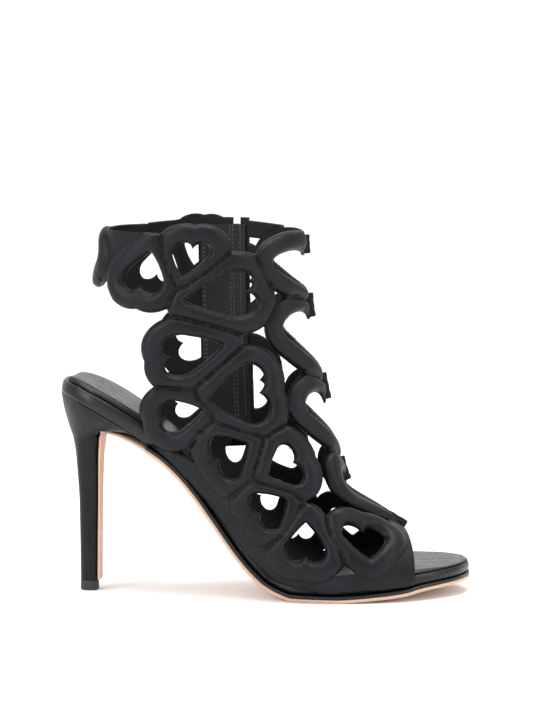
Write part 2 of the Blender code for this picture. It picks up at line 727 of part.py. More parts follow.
def outline_rows(start, end, half):
    """Stations from start to end on one shared spacing, closer at both ends, and the half-width at each."""
    shared = along(np.arange(1, STATION_COUNT) / STATION_COUNT)
    ends = [start + step for step in END_STEPS] + [end - step for step in END_STEPS]
    inner = shared[(shared > start + END_STEPS[-1] * 1.2) & (shared < end - END_STEPS[-1] * 1.2)]
    u = np.unique(np.concatenate([inner, ends]))
    return u, half(u)


def plan_outline(u, half):
    """Plan points of a piece, down its lateral edge and back up its medial edge, with outward directions."""
    loop = np.concatenate([np.stack([u, -half], -1), np.stack([u, half], -1)[::-1]])
    way = np.roll(loop, -1, axis=0) - np.roll(loop, 1, axis=0)
    out = np.stack([way[:, 1], -way[:, 0]], -1)
    return loop, out / np.maximum(np.linalg.norm(out, axis=1), 1e-9)[:, None]


def make_slab(name, u, half, rings, material):
    """A piece that follows the seat line. Each ring is an inset from the outline and a lift off that line."""
    loop, out = plan_outline(u, half)
    count = len(u)
    vertices, faces = [], []
    for inset, lift in rings:
        inner = loop - out * inset
        lift = lift(inner[:, 0]) if callable(lift) else lift + 0 * inner[:, 0]
        place_u, z = lifted(inner[:, 0], lift)
        vertices.extend(swayed(place_u, inner[:, 1], z))
    size = 2 * count
    for level in range(len(rings) - 1):
        low, high = level * size, (level + 1) * size
        for k in range(size):
            after = (k + 1) % size
            faces.append((low + k, low + after, high + after, high + k))
    for first in (0, (len(rings) - 1) * size):
        for k in range(count - 1):
            near = [first + k, first + k + 1, first + size - 2 - k, first + size - 1 - k]
            faces.append(near if first == 0 else near[::-1])
    return make_mesh(name, vertices, faces, material)


def end_rows(u, half):
    """The rows with a real width, so that each end of a slab is a short straight edge."""
    return u, np.maximum(half, 0.8 * MM)


def make_sole_layers(materials):
    thickness = platform_thickness
    heel_end, toe_end = along(0.0), along(1.0)
    u, half = end_rows(*outline_rows(heel_end, toe_end, platform_half))
    rim = [
        (1.2 * MM, 0.0), (0.0, lambda u: thickness(u) * 0.3), (0.0, lambda u: thickness(u) * 0.7),
        (0.5 * MM, lambda u: thickness(u) * 0.9), (1.6 * MM, thickness),
    ]
    make_slab("insole_platform", u, half, rim, materials["glossy"])
    u, half = end_rows(*outline_rows(heel_end + SOCK_INSET, toe_end - 2 * SOCK_INSET,
                                     lambda u: platform_half(u) - SOCK_INSET))
    sock = [
        (0.0, lambda u: thickness(u) + SOCK_GAP), (0.0, lambda u: thickness(u) + SOCK_GAP + SOCK_RISE * 0.4),
        (1.2 * MM, lambda u: thickness(u) + SOCK_GAP + SOCK_RISE * 0.8),
        (4.0 * MM, lambda u: thickness(u) + SOCK_GAP + SOCK_RISE),
    ]
    make_slab("sock_pad", u, half, sock, materials["glossy"])

    def sole_half(u):
        return platform_half(u) + TOE_MARGIN + (WELT_MARGIN - TOE_MARGIN) * margin_share(share_of(u))

    u, half = end_rows(*outline_rows(along(WELT_START), toe_end, sole_half))
    top = -GAP
    welt = [(0.0, top - WELT_THICKNESS), (0.0, top)]
    make_slab("welt", u, half, welt, materials["glossy"])
    u, half = end_rows(*outline_rows(along(OUTSOLE_START), toe_end,
                                     lambda u: sole_half(u) * waist_share(share_of(u))))

    def outsole_top(u):
        return -2 * GAP - WELT_THICKNESS - seat_drop(u)

    outsole = [(0.4 * MM, lambda u: outsole_top(u) - OUTSOLE_THICKNESS), (0.0, lambda u: outsole_top(u))]
    make_slab("outsole", u, half, outsole, materials["tan"])
    return sole_half, outsole_top


def ring_shape(count):
    """Directions round a heel section: rounded at the back and flatter across the breast."""
    turn = np.linspace(0, 2 * math.pi, count, endpoint=False)
    back = np.cos(turn)
    across = np.sin(turn)
    flat = np.where(back < 0, np.sign(back) * np.abs(back) ** 0.45, back)
    wide = np.where(back < 0, np.sign(across) * np.abs(across) ** 0.6, across)
    return flat, wide


def make_heel(materials, sole_half, outsole_top):
    """The covered heel from the tip up to the seat, its tan breast flap and its rubber tip."""
    count = 28
    back_way, side_way = ring_shape(count)
    vertices, faces = [], []
    rows = []
    for back, front, half, height in HEEL_SECTIONS:
        rows.append((along(back), along(front), half * BALL_WIDTH, height * HEEL_HEIGHT))
    for back, front, half, height in rows:
        middle, reach = (back + front) / 2, (front - back) / 2
        u = middle - reach * back_way
        vertices.extend(swayed(u, half * side_way, np.full(count, height)))
    seat_back, seat_front = along(0.0) + 0.6 * MM, along(HEEL_SEAT_FRONT)
    for sink, blend in ((0.55, 0.55), (0.25, 0.85), (0.0, 1.0)):
        back, front, half, height = rows[-1]
        middle, reach = (seat_back + seat_front) / 2, (seat_front - seat_back) / 2
        u_seat = middle - reach * back_way
        edge = np.minimum(platform_half(u_seat), platform_half(along(0.14)))
        v_seat = np.sign(side_way) * np.maximum(edge - 0.6 * MM, 0) * np.abs(side_way) ** 0.15
        v_seat = np.where(np.abs(side_way) < 1e-6, 0, v_seat)
        place_u, z_seat = lifted(u_seat, -GAP)
        floor_u, floor_z = lifted(u_seat, outsole_top(u_seat) + GAP)
        z_seat = np.where(u_seat > along(0.12), np.maximum(z_seat, floor_z), z_seat)
        low = np.stack([(back + front) / 2 - (front - back) / 2 * back_way, half * side_way], -1)
        high = np.stack([place_u, v_seat], -1)
        mixed = low + (high - low) * blend
        _, z_mixed = lifted(mixed[:, 0], -GAP)
        depth = sink * (z_mixed - height)
        _, z_floor = lifted(mixed[:, 0], outsole_top(mixed[:, 0]) + GAP)
        z = z_mixed - depth
        ahead = mixed[:, 0] > along(0.126)
        z = np.where(ahead, np.maximum(z, z_floor), z)
        z = np.minimum(z, z_mixed - sink * 0.5 * MM)
        vertices.extend(swayed(mixed[:, 0], mixed[:, 1], z))
    levels = len(rows) + 3
    for level in range(levels - 1):
        for k in range(count):
            after = (k + 1) % count
            low, high = level * count, (level + 1) * count
            faces.append((low + k, low + after, high + after, high + k))
    for first in (0, (levels - 1) * count):
        for k in range(1, count // 2):
            a, b = first + k, first + count - k
            if k == 1:
                faces.append((first, a, b))
            if k < count // 2 - 1:
                faces.append((a, a + 1, b - 1, b))
            else:
                faces.append((a, first + count // 2, b))
    heel = make_mesh("heel", vertices, faces, materials["leather"])
    u, half = outline_rows(along(0.126), along(0.25), lambda u: sole_half(u) + 6 * MM)
    room = [(0.0, lambda u: outsole_top(u) - OUTSOLE_THICKNESS - 3 * MM), (0.0, lambda u: outsole_top(u) + GAP)]
    cutter = make_slab("outsole_room", u, half, room, materials["tan"])
    cutter.hide_render = True
    cutter.display_type = "WIRE"
    bpy.data.collections[COLLECTION_NAME].objects.unlink(cutter)
    bpy.data.collections["Cutters"].objects.link(cutter)
    cut = heel.modifiers.new("room for the outsole", "BOOLEAN")
    cut.operation = "DIFFERENCE"
    cut.object = cutter


def new_material(name, colour, roughness, metallic=0.0):
    material = bpy.data.materials.new(name)
    material.use_nodes = True
    shader = material.node_tree.nodes["Principled BSDF"]
    shader.inputs["Base Color"].default_value = (*colour, 1)
    shader.inputs["Roughness"].default_value = roughness
    shader.inputs["Metallic"].default_value = metallic
    return material


def clear_scene():
    for thing in list(bpy.data.objects):
        bpy.data.objects.remove(thing, do_unlink=True)
    for mesh in list(bpy.data.meshes):
        bpy.data.meshes.remove(mesh)


def ring_solid(name, rings, material):
    """A closed solid through rings with equal numbers of points, capped at both ends."""
    vertices = [point for ring in rings for point in ring]
    size = len(rings[0])
    faces = []
    for level in range(len(rings) - 1):
        low, high = level * size, (level + 1) * size
        faces += [(low + k, low + (k + 1) % size, high + (k + 1) % size, high + k) for k in range(size)]
    faces.append(tuple(range(size))[::-1])
    faces.append(tuple(range((len(rings) - 1) * size, len(rings) * size)))
    return make_mesh(name, vertices, faces, material)


def make_heel_tip(materials):
    back, front, half, height = HEEL_SECTIONS[0]
    back_way, side_way = ring_shape(28)
    middle, reach = (along(back) + along(front)) / 2, (along(front) - along(back)) / 2
    rings = []
    for z in (0.0, height * HEEL_HEIGHT - GAP):
        rings.append(swayed(middle - reach * back_way, half * BALL_WIDTH * side_way, np.full(28, z)))
    ring_solid("heel_tip", rings, materials["rubber"])


def make_breast_flap(materials):
    """The tan leather down the heel's breast."""
    rings = []
    for front, half, height in FLAP_SECTIONS:
        near = along(front) + GAP
        wide = half * BALL_WIDTH
        u = np.array([near, near + FLAP_THICKNESS, near + FLAP_THICKNESS, near])
        v = np.array([-wide, -wide, wide, wide])
        rings.append(swayed(u, v, np.full(4, height * HEEL_HEIGHT)))
    ring_solid("heel_breast_flap", rings, materials["tan"])


def make_tabs(last, materials):
    """The folded seam ends that join the two halves down the centre front."""
    for number, (top, bottom) in enumerate(TAB_SPANS, 1):
        start = line_station(last, top * SHOE_HEIGHT, 0)
        end = line_station(last, bottom * SHOE_HEIGHT, 0)
        stations = np.linspace(start, end, 6)
        front, _ = last.frame(stations)
        before, _ = last.frame(np.clip(stations - 0.05, 0, None))
        after, _ = last.frame(stations + 0.05)
        way = (after - before) / np.linalg.norm(after - before, axis=1)[:, None]
        out = np.stack([-way[:, 1], way[:, 0]], -1)
        rings = []
        for point, direction in zip(front, out):
            near = point + direction * (FLAT_THICKNESS + TAB_CLEARANCE)
            far = near + direction * TAB_RISE
            u = np.array([near[0], far[0], far[0], near[0]])
            z = np.array([near[1], far[1], far[1], near[1]])
            v = np.array([-1, -1, 1, 1]) * TAB_WIDTH / 2
            rings.append(swayed(u, v, z))
        ring_solid(f"front_tab_{number}", rings, materials["leather"])


def medial_place(last, flat, lift):
    """Flat points on the medial side, moved out by a lift, in place."""
    step = 0.5 * MM

    def at(points):
        body = last.wrapped(points)
        return swayed(body[:, 0], body[:, 1], body[:, 2])

    here = at(flat)
    right = at(flat + [step, 0]) - here
    up = at(flat + [0, step]) - here
    normal = np.cross(up, right)
    normal /= np.linalg.norm(normal, axis=1)[:, None]
    return here + normal * lift


def route_strip(last, line, front, back, low, high):
    """Rings of a strip along a line of the zip, from one lift to another."""
    sides = [beside(line, offset) for offset in np.linspace(-back, front, 5)]
    rings = []
    for flat in np.stack(sides, axis=1):
        rings.append(np.concatenate([medial_place(last, flat, low), medial_place(last, flat[::-1], high)]))
    return rings


def make_zip(last, materials):
    route = zip_route(last)
    tape = route_strip(last, route_points(route, ZIP_START, TAPE_END, 16), ZIP_BAND_FRONT - TAPE_MARGIN,
                       ZIP_BAND_BACK - TAPE_MARGIN, -GAP - TAPE_THICKNESS, -GAP)
    ring_solid("zip_tape", tape, materials["fabric"])
    teeth = route_strip(last, route_points(route, ZIP_START, TEETH_END, 14), TEETH_WIDTH / 2, TEETH_WIDTH / 2, 0,
                        TEETH_THICKNESS)
    ring_solid("zip_teeth", teeth, materials["metal"])
    middle = route_points(route, SLIDER_PLACE, SLIDER_PLACE + 0.02, 2)
    base, down_point = medial_place(last, middle, 0.0)
    out = medial_place(last, middle, 1 * MM)[0] - base
    out /= np.linalg.norm(out)
    down = down_point - base
    down -= out * (down @ out)
    down /= np.linalg.norm(down)
    across = np.cross(down, out)

    def block(wide, long_low, long_high, low, high, middle=0.0):
        ring = []
        for a, b in ((-1, low), (1, low), (1, high), (-1, high)):
            ring.append(base + across * (middle + a * wide / 2) + out * b)
        return [np.array(ring) + down * long_low, np.array(ring) + down * long_high]

    bottom = FLAT_THICKNESS + 2 * GAP
    top = bottom + SLIDER_THICKNESS
    ring_solid("zip_slider", block(SLIDER_WIDTH, 0.0, SLIDER_LENGTH, bottom, top), materials["metal"])
    axis_lift = top + GAP + PULL_THICKNESS
    plate = block(PULL_WIDTH, -PULL_THICKNESS / 2, PULL_LENGTH, axis_lift - PULL_THICKNESS / 2,
                  axis_lift + PULL_THICKNESS / 2)
    hinge = base + out * axis_lift + down * SLIDER_LENGTH * 0.35
    shifted = [ring + down * SLIDER_LENGTH * 0.35 - hinge for ring in plate]
    pull = ring_solid("zip_pull", shifted, materials["metal"])
    pull.location = Vector(hinge)
    return hinge, across


def main():
    clear_scene()
    bpy.context.scene.collection.children.link(bpy.data.collections.new(COLLECTION_NAME))
    bpy.context.scene.collection.children.link(bpy.data.collections.new("Cutters"))
    materials = {
        "leather": new_material("Black leather", (0.012, 0.012, 0.013), 0.5),
        "glossy": new_material("Glossy black leather", (0.01, 0.01, 0.01), 0.28),
        "tan": new_material("Tan leather", (0.62, 0.42, 0.29), 0.6),
        "rubber": new_material("Black rubber", (0.02, 0.02, 0.02), 0.8),
        "fabric": new_material("Black tape", (0.015, 0.015, 0.015), 0.85),
        "metal": new_material("Dark metal", (0.05, 0.05, 0.05), 0.3, 1.0),
    }
    last = Last()
    outlines = hearts_of(last, HEART_POINTS)
    make_upper(last, outlines, materials["leather"])
    sole_half, outsole_top = make_sole_layers(materials)
    make_heel(materials, sole_half, outsole_top)
    make_heel_tip(materials)
    make_breast_flap(materials)
    make_tabs(last, materials)
    make_zip(last, materials)


if __name__ == "__main__":
    main()
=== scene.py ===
"""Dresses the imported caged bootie.

It gets puffy leather heart frames, a padded glossy sock, a covered stiletto heel and a zip. The upper is
drawn as a flat half-pattern of hearts, wrapped onto the last and thickened, once for each side.
"""

import math

import bmesh
import bpy
import numpy as np
from bpy.props import FloatProperty, FloatVectorProperty, PointerProperty
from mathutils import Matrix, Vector
from mathutils.geometry import delaunay_2d_cdt


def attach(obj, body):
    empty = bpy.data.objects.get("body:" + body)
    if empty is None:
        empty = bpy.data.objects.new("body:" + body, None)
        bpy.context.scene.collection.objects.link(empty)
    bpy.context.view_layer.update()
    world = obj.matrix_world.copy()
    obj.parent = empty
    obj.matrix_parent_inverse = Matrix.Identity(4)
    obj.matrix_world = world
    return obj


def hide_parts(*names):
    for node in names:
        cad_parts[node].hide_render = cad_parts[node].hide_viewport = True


bl_info = {
    "name": "Heart cage heel",
    "version": (1, 0, 0),
    "blender": (4, 5, 0),
    "location": "3D View > Sidebar > Shoe",
    "description": "Leather, lining, stitches, zip and sole finish for a caged stiletto bootie",
    "category": "Object",
}

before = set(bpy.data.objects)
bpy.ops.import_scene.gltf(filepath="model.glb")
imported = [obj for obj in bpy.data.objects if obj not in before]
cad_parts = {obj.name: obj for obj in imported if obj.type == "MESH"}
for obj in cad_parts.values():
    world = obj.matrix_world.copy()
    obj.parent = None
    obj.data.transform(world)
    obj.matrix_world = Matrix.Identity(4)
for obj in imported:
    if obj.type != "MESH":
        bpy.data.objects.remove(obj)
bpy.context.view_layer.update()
SHOE = "shoe"
PULL = "zip_pull"
MM = 0.001

# Overall sizes
SHOE_LENGTH = 212 * MM
HEEL_HEIGHT = 105 * MM
SHAFT_HEIGHT = 90 * MM
BALL_WIDTH = 76 * MM
SHOE_HEIGHT = HEEL_HEIGHT + SHAFT_HEIGHT
TREAD_SHARE = 0.609
HEEL_TURN = math.radians(-10.5)
TOE_TURN = math.radians(11)

# Layers under the foot
GAP = 0.3 * MM
OUTSOLE_THICKNESS = 1.7 * MM
WELT_THICKNESS = 1.5 * MM
SOLE_STACK = OUTSOLE_THICKNESS + WELT_THICKNESS + 2 * GAP
SEAT_THICKNESS = 7 * MM
TOE_THICKNESS = 5 * MM
SOCK_INSET = 4 * MM
SOCK_GAP = 0.5 * MM
SOCK_ROUND = 3.2 * MM
SOCK_CREASE = 0.12 * MM
# Where the sock thins towards the toe, as shares of the length, and its inset there
SOCK_TOE_START, SOCK_TOE_LENGTH = 0.8, 0.12
SOCK_TOE_INSET = 1.5 * MM
UPPER_LIFT = 1.6 * MM
WELT_MARGIN = 2.6 * MM
TOE_MARGIN = 0.6 * MM

# Upper
FRAME_WIDTH = 10 * MM
CROWN_THICKNESS = 4.8 * MM
FLAT_THICKNESS = 1.7 * MM
GROOVE_THICKNESS = 0.9 * MM
# Width of the painted shade along the grooves between padded frames
GROOVE_SHADE_WIDTH = 0.75 * MM
SEAM_FADE = 5 * MM
TAB_WIDTH = 2.6 * MM
TAB_RISE = 1.8 * MM
TAB_CLEARANCE = 1.3 * MM

# Heel
FLAP_THICKNESS = 1.3 * MM

# Zip on the medial side
ZIP_BAND_BACK = 22 * MM
ZIP_BAND_FRONT = 7 * MM
TAPE_MARGIN = 1.5 * MM
ZIP_SLIT_WIDTH = 4.6 * MM
TAPE_THICKNESS = 0.7 * MM
PULL_LENGTH = 19 * MM
PULL_WIDTH = 5 * MM
PULL_THICKNESS = 1.2 * MM

# Rise of the seat line above the sole layers: share of length from the heel, share of the heel height
SEAT_LINE = [
    (0.0, 1.0), (0.043, 0.977), (0.095, 0.927), (0.147, 0.864), (0.18, 0.818), (0.218, 0.759),
    (0.256, 0.704), (0.298, 0.618), (0.341, 0.506), (0.388, 0.359), (0.44, 0.196), (0.473, 0.1125),
    (0.501, 0.0573), (0.534, 0.0188), (0.562, 0.0), (0.657, 0.0), (0.727, 0.0099), (0.808, 0.0267),
    (0.859, 0.047), (0.93, 0.062), (1.0, 0.07),
]
# Half-width of the platform: share of length, share of the ball width
PLATFORM_HALF = [
    (0.0, 0.0), (0.006, 0.11), (0.02, 0.2), (0.05, 0.29), (0.09, 0.34), (0.14, 0.35), (0.22, 0.325),
    (0.33, 0.28), (0.42, 0.275), (0.5, 0.33), (0.58, 0.425), (0.66, 0.485), (0.72, 0.5), (0.78, 0.49),
    (0.85, 0.45), (0.91, 0.375), (0.955, 0.275), (0.985, 0.155), (0.996, 0.08), (1.0, 0.0),
]
# Platform thickness: share of length, share of the seat thickness that is added to the toe thickness
PLATFORM_SWELL = [(0.0, 1.0), (0.2, 1.0), (0.27, 0.6), (0.34, 0.0), (1.0, 0.0)]
# How far the outsole drops below the welt under the heel seat: share of length, share of the heel height
SEAT_DROP = [(0.1, 0.1), (0.119, 0.082), (0.15, 0.05), (0.185, 0.02), (0.225, 0.0), (1.0, 0.0)]
# Margin of the outsole beyond the platform: share of length, share between toe margin and welt margin
MARGIN_LINE = [(0.0, 0.0), (0.1, 0.0), (0.24, 1.0), (0.8, 1.0), (0.88, 0.0), (1.0, 0.0)]

# Sections of the last: front point (share of length, share of shoe height), back point (share of length,
# share of shoe height, or None on the seat line), half-width as a share of the ball width, where along the
# section the last is widest, and how round the front is
LAST_SECTIONS = [
    (0.581, 1.03, 0.136, 1.04, 0.42, 0.50, 1.6),
    (0.585, 0.945, 0.121, 0.965, 0.43, 0.50, 1.6),
    (0.590, 0.86, 0.092, 0.785, 0.445, 0.50, 1.6),
    (0.596, 0.772, 0.035, 0.585, 0.445, 0.50, 1.6),
    (0.604, 0.716, 0.139, None, 0.43, 0.52, 1.6),
    (0.613, 0.662, 0.235, None, 0.42, 0.56, 1.6),
    (0.632, 0.554, 0.357, None, 0.42, 0.62, 1.65),
    (0.655, 0.446, 0.455, None, 0.44, 0.68, 1.75),
    (0.680, 0.326, 0.577, None, 0.495, 0.76, 1.9),
    (0.705, 0.268, 0.648, None, 0.515, 0.80, 2.0),
    (0.773, 0.209, 0.741, None, 0.52, 0.82, 2.0),
    (0.809, 0.185, 0.795, None, 0.51, 0.84, 2.0),
    (0.849, 0.158, 0.849, None, 0.485, 0.85, 2.0),
    (0.900, 0.123, 0.905, None, 0.42, 0.85, 2.0),
]
LAST_BACK_ROUND = 2.2
HEEL_CORNER_FLOOR = 0.35
FLOOR_TUCK = 0.6
ARC_STEPS = 41

# A heart of height 1: radius of its lobes, the point of a lobe that the tables give, and how far out of the
# front line a lobe's shoulder lies for a reach of 1
LOBE_RADIUS = 0.28
LOBE_SHOULDER = math.radians(40)
LOBE_SPREAD = 0.7

# Hearts on each side: tip, first lobe and second lobe as seen from the side (share of length, share of shoe
# height), and how deep the cleft is as a share of the lobe radius
SIDE_HEARTS = {
    "h1": ((0.241, 0.922), (0.177, 0.836), (0.257, 0.822), 0.58),
    "h2": ((0.312, 0.859), (0.300, 0.939), (0.372, 0.937), 0.62),
    "h4": ((0.318, 0.797), (0.450, 0.870), (0.468, 0.767), 0.50),
    "h6": ((0.401, 0.680), (0.275, 0.692), (0.288, 0.602), 0.45),
    "h7": ((0.369, 0.539), (0.480, 0.620), (0.498, 0.484), 0.50),
    "h9": ((0.357, 0.510), (0.266, 0.522), (0.277, 0.450), 0.38),
    "h10": ((0.457, 0.421), (0.374, 0.420), (0.417, 0.327), 0.52),
    "h11": ((0.505, 0.338), (0.547, 0.412), (0.583, 0.322), 0.55),
    "h12": ((0.544, 0.273), (0.465, 0.273), (0.509, 0.194), 0.48),
    "h13": ((0.591, 0.212), (0.551, 0.124), (0.628, 0.118), 0.52),
    "h14": ((0.735, 0.116), (0.676, 0.196), (0.763, 0.173), 0.70),
}
# Hearts on the centre front: height of tip and of cleft on the front line (share of shoe height), lobe reach
# from the line as a share of the ball width, and how deep the cleft is
FRONT_HEARTS = {
    "c1": (0.805, 0.900, 0.44, 0.55),
    "c2": (0.590, 0.730, 0.37, 0.48),
    "c3": (0.370, 0.505, 0.30, 0.45),
    "c4": (0.208, 0.290, 0.22, 0.45),
}
# Heart at the centre back: height of tip and cleft on the back line, lobe reach and cleft depth
BACK_HEARTS = {"h0": (0.862, 0.922, 0.13, 0.30)}

# Plain panels, as seen from the side (share of length, share of shoe height)
ANKLE_PANEL = [
    (0.060, 0.972), (0.130, 0.972), (0.200, 0.972), (0.255, 0.972), (0.262, 0.93), (0.235, 0.925),
    (0.190, 0.90), (0.150, 0.87), (0.125, 0.84), (0.060, 0.84),
]
BASE_PANEL = [
    (0.197, 0.475), (0.225, 0.415), (0.32, 0.38), (0.38, 0.335), (0.45, 0.24), (0.505, 0.16), (0.56, 0.09),
    (0.66, 0.075), (0.74, 0.085), (0.792, 0.14), (0.792, 0.215), (0.833, 0.20), (0.833, -0.02),
    (0.62, -0.02), (0.47, -0.02), (0.30, 0.18), (0.197, 0.37),
]
COLLAR_STRIP = [
    (0.20, 0.975), (0.31, 0.985), (0.42, 0.985), (0.54, 0.975), (0.54, 0.93), (0.42, 0.94), (0.31, 0.94),
    (0.20, 0.935),
]


# Heel sections from the tip up: back edge and breast (share of length), half-width as a share of the ball
# width, height as a share of the heel height
HEEL_SECTIONS = [
    (0.045, 0.088, 0.066, 0.052),
    (0.044, 0.089, 0.066, 0.25),
    (0.0425, 0.0905, 0.068, 0.45),
    (0.038, 0.0915, 0.078, 0.60),
    (0.034, 0.093, 0.095, 0.70),
    (0.0285, 0.098, 0.135, 0.77),
]
# Where the heel's seat ends under the arch, where the outsole starts and where the welt starts
HEEL_SEAT_FRONT = 0.215
OUTSOLE_START = 0.128
WELT_START = 0.226
# Outsole's half-width as a share of the full one, where it narrows towards the heel's breast
OUTSOLE_WAIST = [(0.0, 0.36), (0.12, 0.36), (0.16, 0.50), (0.20, 0.78), (0.25, 1.0), (1.0, 1.0)]
# How far the heel's seat lies inside the platform's edge
HEEL_SEAT_INSET = 0.6 * MM
# Room for the outsole in the heel: share of length from and to, margins beside the outsole and under it
ROOM_START, ROOM_END = 0.126, 0.25
ROOM_SIDE, ROOM_DEPTH = 6 * MM, 3 * MM
# Edge of the outsole: inset in mm, share of its thickness from the tread
OUTSOLE_EDGE = [(0.55, 0.0), (0.25, 0.08), (0.08, 0.22), (0.0, 0.5), (0.05, 0.85), (0.25, 1.0)]
# Leather down the heel's breast, from its foot up: outer face (share of length), half-width as a share of the
# ball width, height as a share of the heel height
FLAP_SECTIONS = [
    (0.088, 0.052, 0.054),
    (0.089, 0.052, 0.25),
    (0.0905, 0.054, 0.45),
    (0.0915, 0.062, 0.60),
    (0.093, 0.075, 0.69),
    (0.0955, 0.09, 0.735),
]

# Where each front tab starts and ends down the front line, as shares of the shoe height
TAB_SPANS = [(0.955, 0.905), (0.80, 0.735), (0.585, 0.515), (0.36, 0.295), (0.207, 0.165)]

# Zip: where its pieces start and end, as shares of its route from the collar down
ZIP_START = 0.03
SLIT_END = 0.75
TEETH_END = 0.73
TAPE_END = 0.9
SLIDER_PLACE = 0.04
SLIDER_LENGTH = 7 * MM
SLIDER_WIDTH = 6.5 * MM
SLIDER_THICKNESS = 1.6 * MM
# Beads of the zip's coil: their lift off the wall, how far they lie beside the middle, and their size
COIL_LIFT = 0.5 * MM
COIL_SIDE = 0.8 * MM
COIL_BEAD = (0.75 * MM, 2.1 * MM, 1.3 * MM)
# Stitch rows: share of the zip's route from and to, and how far each lies in front of the zip's middle
STITCH_START, STITCH_END = 0.035, 0.93
BAND_STITCHES = (2.6 * MM - ZIP_BAND_BACK, 1.4 * MM - ZIP_BAND_BACK, -3.6 * MM, 3.6 * MM)
TAPE_STITCHES = (3.6 * MM - ZIP_BAND_BACK, 2.4 * MM - ZIP_BAND_BACK, -3.4 * MM, -1.8 * MM, 2.6 * MM)
TAPE_STITCH_COUNT = 148


def smooth_curve(table, column=1):
    """A function through a table's points that doesn't overshoot between them."""
    x = np.array([row[0] for row in table], float)
    y = np.array([row[column] for row in table], float)
    step = np.diff(x)
    slope = np.diff(y) / step
    tangent = np.zeros(len(x))
    same = slope[:-1] * slope[1:] > 0
    before, after = step[:-1], step[1:]
    low, high = 2 * after + before, after + 2 * before
    with np.errstate(divide="ignore", invalid="ignore"):
        mean = (low + high) / (low / slope[:-1] + high / slope[1:])
    tangent[1:-1] = np.where(same, mean, 0)
    tangent[0], tangent[-1] = slope[0], slope[-1]

    def curve(at):
        at = np.clip(np.asarray(at, float), x[0], x[-1])
        i = np.clip(np.searchsorted(x, at, side="right") - 1, 0, len(x) - 2)
        t = (at - x[i]) / step[i]
        return (
            (2 * t**3 - 3 * t**2 + 1) * y[i] + (t**3 - 2 * t**2 + t) * step[i] * tangent[i]
            + (3 * t**2 - 2 * t**3) * y[i + 1] + (t**3 - t**2) * step[i] * tangent[i + 1]
        )

    return curve


def along(share):
    """Distance along the foot from the tread spot."""
    return (np.asarray(share, float) - TREAD_SHARE) * SHOE_LENGTH


def share_of(u):
    return u / SHOE_LENGTH + TREAD_SHARE


seat_rise = smooth_curve(SEAT_LINE)
platform_half_share = smooth_curve(PLATFORM_HALF)
waist_share = smooth_curve(OUTSOLE_WAIST)
swell_share = smooth_curve(PLATFORM_SWELL)
drop_share = smooth_curve(SEAT_DROP)
margin_share = smooth_curve(MARGIN_LINE)


def seat_height(u):
    return SOLE_STACK + (HEEL_HEIGHT - SOLE_STACK) * seat_rise(share_of(u))


def platform_half(u):
    return BALL_WIDTH * platform_half_share(share_of(u))


def platform_thickness(u):
    return TOE_THICKNESS + (SEAT_THICKNESS - TOE_THICKNESS) * swell_share(share_of(u))


def seat_drop(u):
    return HEEL_HEIGHT * drop_share(share_of(u))


def seat_normal(u):
    step = 0.2 * MM
    slope = (seat_height(u + step) - seat_height(u - step)) / (2 * step)
    length = np.sqrt(1 + slope**2)
    return -slope / length, 1 / length


def lifted(u, lift):
    """The point at a distance above the seat line, square to it, as (u, z)."""
    nu, nz = seat_normal(u)
    return u + nu * lift, seat_height(u) + nz * lift


def swayed(u, v, z):
    """Turns straight-foot coordinates onto the swayed centre line."""
    share = share_of(u)
    low, high = math.tan(HEEL_TURN), math.tan(TOE_TURN)
    y = SHOE_LENGTH * (low * share + (high - low) / 2 * share**2)
    turn = np.arctan(low + (high - low) * share)
    return np.stack([u - v * np.sin(turn), y + v * np.cos(turn), z + 0 * u], -1)


